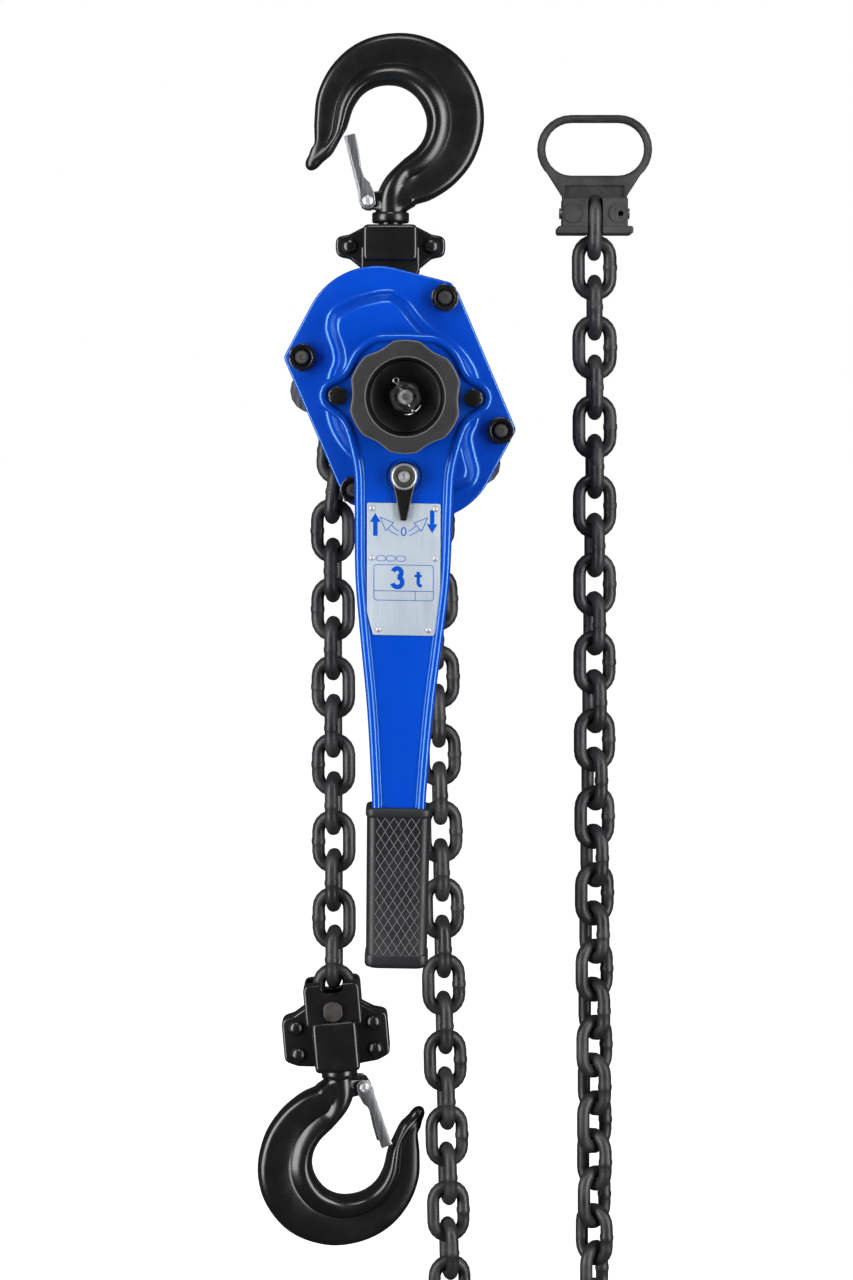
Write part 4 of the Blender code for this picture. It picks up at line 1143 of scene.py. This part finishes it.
def name_plate():
    """A brushed plate with a plain load box and arrows, held by six small rivets."""
    back = LEVER_FLOOR - GAP
    face = back - 0.9
    half = [(26.6, PLATE_TOP), (26.6, -155.7), (22.2, -172.7)]
    sheet = slab(on_plate(mirrored(half)), back, face, 0.25, 1.6)
    piece("rating_plate", sheet, "brushed_plate", "lever", "name_plate")
    depth = (face + 0.05, face - 0.08)
    over = (depth[0], depth[1] - 0.03)
    cells = [([(-21.6, -140.4), (21.6, -140.4)], 0.45), ([(8.4, -140.4), (8.4, -147.2)], 0.45)]
    shapes = [hollow_box((0, -134.3), 21.8, 13.1, 2.4, 5, 0.45, depth)] + strokes(cells, depth)
    shapes += [hollow_box((-16.4 + 7.2 * k, -116.8), 3.4, 2.1, 2, 4, 0.4, depth) for k in range(3)]
    three = (-4.6, -130.9)
    shapes += strokes([(arc((0, 0.26), 0.2, 165, -80, 16), 3.4)], depth, three, 15.0)
    shapes += strokes([(arc((0, -0.2), 0.24, 88, -165, 16), 3.4)], over, three, 15.0)
    tonne = (10.6, -131.6)
    shapes += strokes([([(-2.7, 2.4), (2.5, 2.4)], 1.8)], over, tonne)
    shapes += strokes([([(0, 5.4), (0, -3.2), (0.7, -4.5), (2.6, -4.9)], 2.4)], depth, tonne)
    arrow_z = -91.0
    for side in (-1, 1):
        middle = side * 20.6
        tip = arrow_z - side * 7.0
        tail = arrow_z + side * 9.6
        neck = arrow_z - side * 0.5
        arrow = [
            (middle - 1.6, tail), (middle + 1.6, tail), (middle + 1.6, neck), (middle + 3.9, neck),
            (middle, tip), (middle - 3.9, neck), (middle - 1.6, neck),
        ]
        shapes.append(extruded(on_plate(arrow), depth))
        curved = [
            [(9.0, -92.4), (6.6, -94.9), (3.6, -97.0)], [(11.7, -95.4), (8.4, -98.0), (4.0, -100.0)],
            [(17.2, -87.0), (7.4, -90.8)], [(7.4, -90.8), (13.0, -96.8)], [(13.0, -96.8), (17.2, -87.0)],
        ]
        shapes += strokes([([(side * x, z) for x, z in line], 0.5) for line in curved], depth)
    turns = [math.radians(15 * k) for k in range(25)]
    zero = [(1.7 * math.sin(a), -97.2 - 2.9 * math.cos(a)) for a in turns]
    shapes += strokes([(zero, 0.8)], depth)
    piece("plate_print", together(shapes), "brushed_plate", "lever", look="print_blue")
    spots = [(x, z) for z in (-80.4, -116.4) for x in (-23.0, 23.0)] + [(-18.2, -168.5), (18.2, -168.5)]
    dome = [
        (0, face - 1.3), (1.0, face - 1.15), (1.8, face - 0.7), (2.3, face), (2.3, face + 0.3),
        (0, face + 0.3),
    ]
    heads = [turned(dome, spot, 20) for spot in on_plate(spots)]
    piece("plate_rivets", together(heads), "zinc_plate", "lever", look="satin_steel")


def selector():
    """The change-over selector: a black finger with a bright washer and screw on its pivot."""
    x, z = SELECTOR_PIVOT
    pivot = lean([SELECTOR_PIVOT])[0]
    side = [(8, -6), (6, -14), (4.2, -24), (2.6, -32)]
    finger = arc((x, z), 10.6, 15, 165, 12) + [(x - out, z + down) for out, down in side]
    finger += [(x + out, z + down) for out, down in reversed(side)]
    body = slab(round_corners(lean(finger), 2, steps=3), LEVER_FLOOR + 0.4, LEVER_FRONT - 1.8, 0.9)
    post = disc(5, -93, -110, pivot, 32)
    piece("selector_finger", body, "black_paint", "selector", "selector", joins=[post])
    face = -112.4
    washer = [
        (0, -106), (9.4, -106), (9.7, face + 2.6), (9.3, face + 1.5), (8.7, face + 1.1), (8.1, face + 1.5),
        (7.9, face + 3.2), (4.3, face + 3.2), (4.2, face + 0.6), (3.6, face - 0.4), (2.6, face - 0.7),
        (1.7, face - 0.4), (1.3, face + 0.4), (0, face + 0.5),
    ]
    piece("selector_knob", turned(washer, pivot), "zinc_plate", "selector", look="satin_steel")
    # A dark steel ring set in the washer's groove, between its bright outer rim and its centre.
    dark_ring = [(4.4, face + 3.0), (4.4, face + 1.7), (6.1, face + 1.3), (7.8, face + 1.7), (7.8, face + 3.0)]
    piece("selector_dark_ring", turned(dark_ring, pivot), "zinc_plate", "selector", look="pin_steel")


def grip_section(z, half, depth, corner=7.0):
    """A rounded rectangle across the lever at that height."""
    middle = 0.5 * (LEVER_BACK + LEVER_FRONT)
    ring = []
    for sx, sy, start in ((1, 1, 0), (-1, 1, 90), (-1, -1, 180), (1, -1, 270)):
        for x, y in arc((sx * (half - corner), sy * (depth - corner)), corner, start, start + 90, 7):
            ring += ring_at(lean([(x, z)]), middle + y)
    return ring


# Width and height of one diamond of the grip's lattice, and how many there are.
LATTICE_CELL = (6.4, 10.2)
LATTICE_COLUMNS = 5
LATTICE_ROWS = 10


def grip():
    """The rubber sleeve with its collar and lip, and the thin raised lattice on both faces."""
    top = GRIP_TOP
    low = GRIP_BOTTOM
    wall_top = top - 6.9
    wall_low = low + 10.8
    sections = [
        (top + 0.4, 22.2, 17.0), (top, 23.4, 18.0), (top - 1.2, 24.2, 18.6), (top - 5.2, 24.2, 18.6),
        (top - 6.4, 23.6, 18.1), (wall_top, 23.3, 17.5), (wall_low, 22.5, 17.0),
        (low + 10.2, 23.0, 17.6), (low + 9.2, 23.4, 18.0), (low + 3.4, 23.4, 18.0),
        (low + 1.2, 22.4, 17.2), (low, 20.2, 15.0),
    ]
    rings = [grip_section(z, half, depth) for z, half, depth in sections]
    piece("grip_sleeve", loft(rings), "grip_rubber", "lever", "grip", sharp=50)
    middle = 0.5 * (LEVER_BACK + LEVER_FRONT)
    width, height = LATTICE_CELL
    shapes = []
    start = top - 6.6
    half = 0.5 * LATTICE_COLUMNS * width
    drop = LATTICE_ROWS * height
    lines = []
    for way in (-1, 1):
        run = way * LATTICE_ROWS * width
        for k in range(-LATTICE_ROWS, LATTICE_COLUMNS + LATTICE_ROWS + 1):
            x = k * width - half
            low_t, high_t = (max(0.0, min(1.0, t)) for t in sorted(((-half - x) / run, (half - x) / run)))
            if high_t - low_t > 1e-3:
                lines.append([(x + run * t, start - drop * t) for t in (low_t, high_t)])
    for side in (-1, 1):
        for line in lines:
            spots = []
            for x, z in line:
                depth = 17.5 - 0.5 * (wall_top - z) / (wall_top - wall_low)
                spots += ring_at(lean([(x, z)]), middle + side * depth)
            shapes.append(tube(spots, 0.26, 6))
    # The lattice's ridges take the lighter grey look, a painted highlight.
    piece("grip_lattice", together(shapes), "grip_rubber", "lever", look="grey_painted_highlight")


# ---------------------------------------------------------------- hand wheel


def wheel_outline():
    """Six wide lobes with shallow scoops between them."""
    points = []
    for lobe in range(6):
        middle = 88 + 60 * lobe
        points += arc(ORIGIN, 40.3, middle - 14, middle + 14, 6)
        for k in range(1, 8):
            share = k / 8
            dip = 39.9 - 2.4 * math.sin(math.pi * share)
            points.append(polar(ORIGIN, dip, middle + 15.5 + 29 * share))
    return at_axis(points)


def hand_wheel():
    """The lobed wheel with a cup in its face, the cup painted darker as shade, and a thin bead round the
    cup's mouth, the bead and the lobes' rounded front edge painted lighter grey as a highlight.
    """
    front = WHEEL_FRONT + BEAD_PROUD
    back = WHEEL_BACK
    profile = [
        (3.0, back), (1.0, back), (0.3, back - 0.5), (0.0, back - 1.4), (0.0, front + 1.6),
        (0.25, front + 0.9), (0.8, front + 0.35), (1.7, front + 0.05), (2.6, front),
    ]
    cup = [
        (0, front - 6), (28.9, front - 6), (28.9, front - 0.3), (28.0, front + 0.6), (27.5, front + 1.6),
        (26.9, front + 9), (26.2, front + 22), (25.2, front + 24.6), (23.2, front + 25.5),
        (14.6, front + 25.5), (14.2, front + 24.0), (0, front + 24.0),
    ]
    made = piece(
        "hand_wheel_moulding", pressed(wheel_outline(), profile), "black_plastic", "drive", "hand_wheel",
        cuts=[turned(cup, AXIS, 72), disc(6.4, -130, -100, AXIS)], sharp=35,
    )
    made.data.materials.append(looks["recess_painted_shade"])
    made.data.materials.append(looks["grey_painted_highlight"])
    mouth = 27.8
    for face in made.data.polygons:
        centre = face.center / MM
        inside = math.hypot(centre.x - AXIS_X, centre.z - AXIS_Z) < mouth
        # Inside the cup's mouth: the darker look, painted shade in the cup.
        if inside and centre.y > front + 0.8:
            face.material_index = 1
        # On the lobes' rounded front edge: the lighter grey look, a painted highlight.
        elif not inside and front + 0.2 < centre.y < front + 1.3:
            face.material_index = 2
    lip = [(28.2, front + 0.3), (28.6, front - BEAD_PROUD), (29.0, front + 0.2)]
    # The bead takes the lighter grey look, a painted highlight round the cup's mouth.
    piece("hand_wheel_bead", turned(lip, AXIS, 72), "black_plastic", "drive", look="grey_painted_highlight")


def wheel_nut():
    """The slotted nut on the shaft's end, and the split pin through it."""
    sections = [
        (6.1, -110.8), (12, -110.8), (12, -117.5), (11.2, -118.4), (10.0, -118.6), (9.9, -124.2),
        (9.3, -125.0), (8.2, -125.0), (7.5, -124.2), (7.2, -119.8), (6.1, -119.4),
    ]
    shape = loft(hex_rings(AXIS, 21.0, sections, math.radians(12)), closed=True)
    slots = []
    for k in range(3):
        way = heading(math.radians(30 + 60 * k)) * 14
        side = Vector((-way.y, way.x)) * 0.15
        corners = [way + side, side - way, -way - side, way - side]
        slots.append(extruded(at_axis(corners), (-119.6, -130)))
    piece(
        "castle_nut_slotted", shape, "machined_steel", "drive", "castle_nut", look="pin_steel",
        cuts=slots, bevel=0.5,
    )
    shaft = [
        (0, -124), (1.5, -124), (1.7, -130.0), (2.6, -131), (4.8, -131), (5.6, -130.2), (5.6, -112),
        (0, -112),
    ]
    piece("shaft_end", turned(shaft, AXIS), "machined_steel", "drive", look="satin_steel")
    leg = heading(math.radians(120))
    side = Vector((-leg.y, leg.x))
    # Along the pin from its eye to its spread end, across it, and forward.
    pin = [
        (15.5, 0.0, 0.0), (15.0, 1.5, 0.0), (13.6, 1.9, 0.0), (12.2, 1.2, 0.0), (11, 0.55, 0.0),
        (0, 0.5, 0.0), (-11, 0.5, 0.0), (-12.2, 0.9, -0.4), (-12.6, 2.2, -1.6), (-12.0, 4.2, -2.8),
        (-10.6, 6.6, -3.4),
    ]
    shapes = []
    for sign, spread in ((-1, 0.4), (1, 1.0)):
        points = []
        for out, across, forward in pin:
            points += ring_at(at_axis([leg * out + side * sign * across]), -121.8 + spread * forward)
        shapes.append(tube(points, 0.62, 8))
    piece("split_pin", together(shapes), "machined_steel", "drive", "cotter_pin")


# ---------------------------------------------------------------- chain end ring


def stadium(centre, half_length, radius, steps=14):
    x, z = centre
    points = arc((x + half_length, z), radius, -90, 90, steps)
    return points + arc((x - half_length, z), radius, 90, 270, steps)


def end_ring():
    """A cast loop with a round section on a slotted base."""
    outer = stadium((RING_X, RING_LOOP_Z), 17.8, 25.6)
    inner = stadium((RING_X, RING_LOOP_Z), 17.6, 19.5)
    half_depth = 6.5
    rings = []
    for k in range(12):
        angle = 2 * math.pi * k / 12
        y = half_depth * math.sin(angle)
        share = 0.5 + 0.5 * math.copysign(abs(math.cos(angle)) ** 0.75, math.cos(angle))
        line = [Vector(near).lerp(Vector(far), share) for near, far in zip(inner, outer)]
        rings.append(ring_at(line, y))
    web = [(-39.2, -59.2), (-24.3, -82.4), (-24.3, -88), (24.3, -88), (24.3, -82.4), (39.2, -59.2)]
    web += [(30, -65.5), (20, -69.4), (-20, -69.4), (-30, -65.5)]
    base = [(-24.5, -84), (24.5, -84), (24.5, -107.5), (-24.5, -107.5)]
    flange = [(-28.6, -105.2), (28.6, -105.2), (28.6, -111), (-28.6, -111)]
    slot = arc((0, -87.4), 5.6, 0, 180, 12) + [(-5.6, -125), (5.6, -125)]
    hollow = [(-23, -74.5), (23, -74.5), (23, -83.7), (-23, -83.7)]

    def shifted(points):
        return [(RING_X + x, z) for x, z in points]

    cross_hole = disc(4.3, RING_X - 40, RING_X + 40, (0, RING_PIN_Z), 24, "X")
    pads = [disc(6.7, -15.7, 15.7, (RING_X + side * 17.2, -95.8), 40) for side in (-1, 1)]
    piece(
        "end_ring_casting", loft(rings, closed=True), "cast_steel", "end_ring", "chain_end_ring",
        joins=[
            slab(shifted(web), -6.2, 6.2, 0.3), slab(shifted(base), -14.4, 14.4, 1.2, 2.0), *pads,
            slab(shifted(flange), -15.2, 15.2, 1.2, 2.2),
        ],
        cuts=[
            slab(shifted(slot), -20, 20, 0.2), cross_hole,
            slab(shifted(hollow), -12, -3.6, 1.0, 2.0), slab(shifted(hollow), 3.6, 12, 1.0, 2.0),
            disc(2.1, -20, -9, (RING_X + 18.9, -96.1), 20),
        ],
        sharp=50,
    )


# ---------------------------------------------------------------- CAD nodes that stay


def dress_cad():
    """Finishes for the inner parts, whose CAD shapes are shown as they are."""
    blue = ["front_plate", "rear_plate"]
    linings = ["friction_disc_inner", "friction_disc_outer"]
    rollers = ["guide_roller_left", "guide_roller_right"]
    for name, node in frame["nodes"].items():
        slot = "machined_steel"
        look = "zinc_plate" if name in rollers else slot
        if name in blue:
            slot = look = "blue_paint"
        if name in linings:
            slot = look = "friction_lining"
        if not node.hide_render:
            node.data.materials.clear()
            node.data.materials.append(looks[look])


# ---------------------------------------------------------------- studio


# Metres from here on. Each light's place, width, height and power.
SOFTBOXES = {
    "left_softbox": ((-1.4, -1.1, -0.3), 0.9, 2.4, 49),
    "right_softbox": ((1.4, -1.1, -0.3), 0.8, 2.4, 45),
    "front_softbox": ((0.0, -1.9, 2.4), 1.2, 0.7, 22),
}
LIT_SPOT = (0, 0, -0.4)
WORLD_GLOW = 0.07
FLOOR_Z = -1.3
FLOOR_HALF = 40
CAMERA_PLACE = (0.0271, -2.0, -0.233)
CAMERA_PITCH = 84.7
CAMERA_LENS = 73.7


def softbox(name, place, width, height, power):
    data = bpy.data.lights.new(name, "AREA")
    data.energy = power
    data.shape = "RECTANGLE"
    data.size = width
    data.size_y = height
    lamp = bpy.data.objects.new(name, data)
    lamp.location = place
    way = Vector(LIT_SPOT) - Vector(place)
    lamp.rotation_euler = way.to_track_quat("-Z", "Y").to_euler()
    bpy.context.scene.collection.objects.link(lamp)


def world():
    """White where the camera sees it, and a faint even glow for everything else."""
    made = bpy.data.worlds.new("studio")
    made.use_nodes = True
    tree = made.node_tree
    glow = tree.nodes["Background"]
    glow.inputs["Color"].default_value = (1, 1, 1, 1)
    glow.inputs["Strength"].default_value = WORLD_GLOW
    white = tree.nodes.new("ShaderNodeBackground")
    white.inputs["Color"].default_value = (1, 1, 1, 1)
    both = tree.nodes.new("ShaderNodeMixShader")
    seen_directly = tree.nodes.new("ShaderNodeLightPath").outputs["Is Camera Ray"]
    tree.links.new(seen_directly, both.inputs["Fac"])
    tree.links.new(glow.outputs["Background"], both.inputs[1])
    tree.links.new(white.outputs["Background"], both.inputs[2])
    tree.links.new(both.outputs["Shader"], tree.nodes["World Output"].inputs["Surface"])
    bpy.context.scene.world = made


def floor():
    mesh = bpy.data.meshes.new("floor")
    corners = [(x * FLOOR_HALF, y * FLOOR_HALF, FLOOR_Z) for x, y in ((-1, -1), (1, -1), (1, 1), (-1, 1))]
    mesh.from_pydata(corners, [], [(0, 1, 2, 3)])
    paper, shader = new_material("floor_paper", (0.9, 0.9, 0.9), 0.9)
    shader.inputs["Emission Color"].default_value = (1, 1, 1, 1)
    shader.inputs["Emission Strength"].default_value = 1.0
    mesh.materials.append(paper)
    sheet = bpy.data.objects.new("floor", mesh)
    sheet.visible_diffuse = False
    sheet.visible_glossy = False
    bpy.context.scene.collection.objects.link(sheet)


def camera():
    scene = bpy.context.scene
    scene.view_settings.view_transform = "Standard"
    data = bpy.data.cameras.new("camera")
    data.lens = CAMERA_LENS
    data.sensor_width = 36
    made = bpy.data.objects.new("camera", data)
    made.location = CAMERA_PLACE
    made.rotation_euler = (math.radians(CAMERA_PITCH), 0, 0)
    scene.collection.objects.link(made)
    scene.camera = made


world()
floor()
for lamp_name, values in SOFTBOXES.items():
    softbox(lamp_name, *values)
camera()
chain()
hooks()
top_yoke()
lower_yoke()
hoist_frame()
lever_shells()
name_plate()
selector()
grip()
hand_wheel()
wheel_nut()
end_ring()
dress_cad()
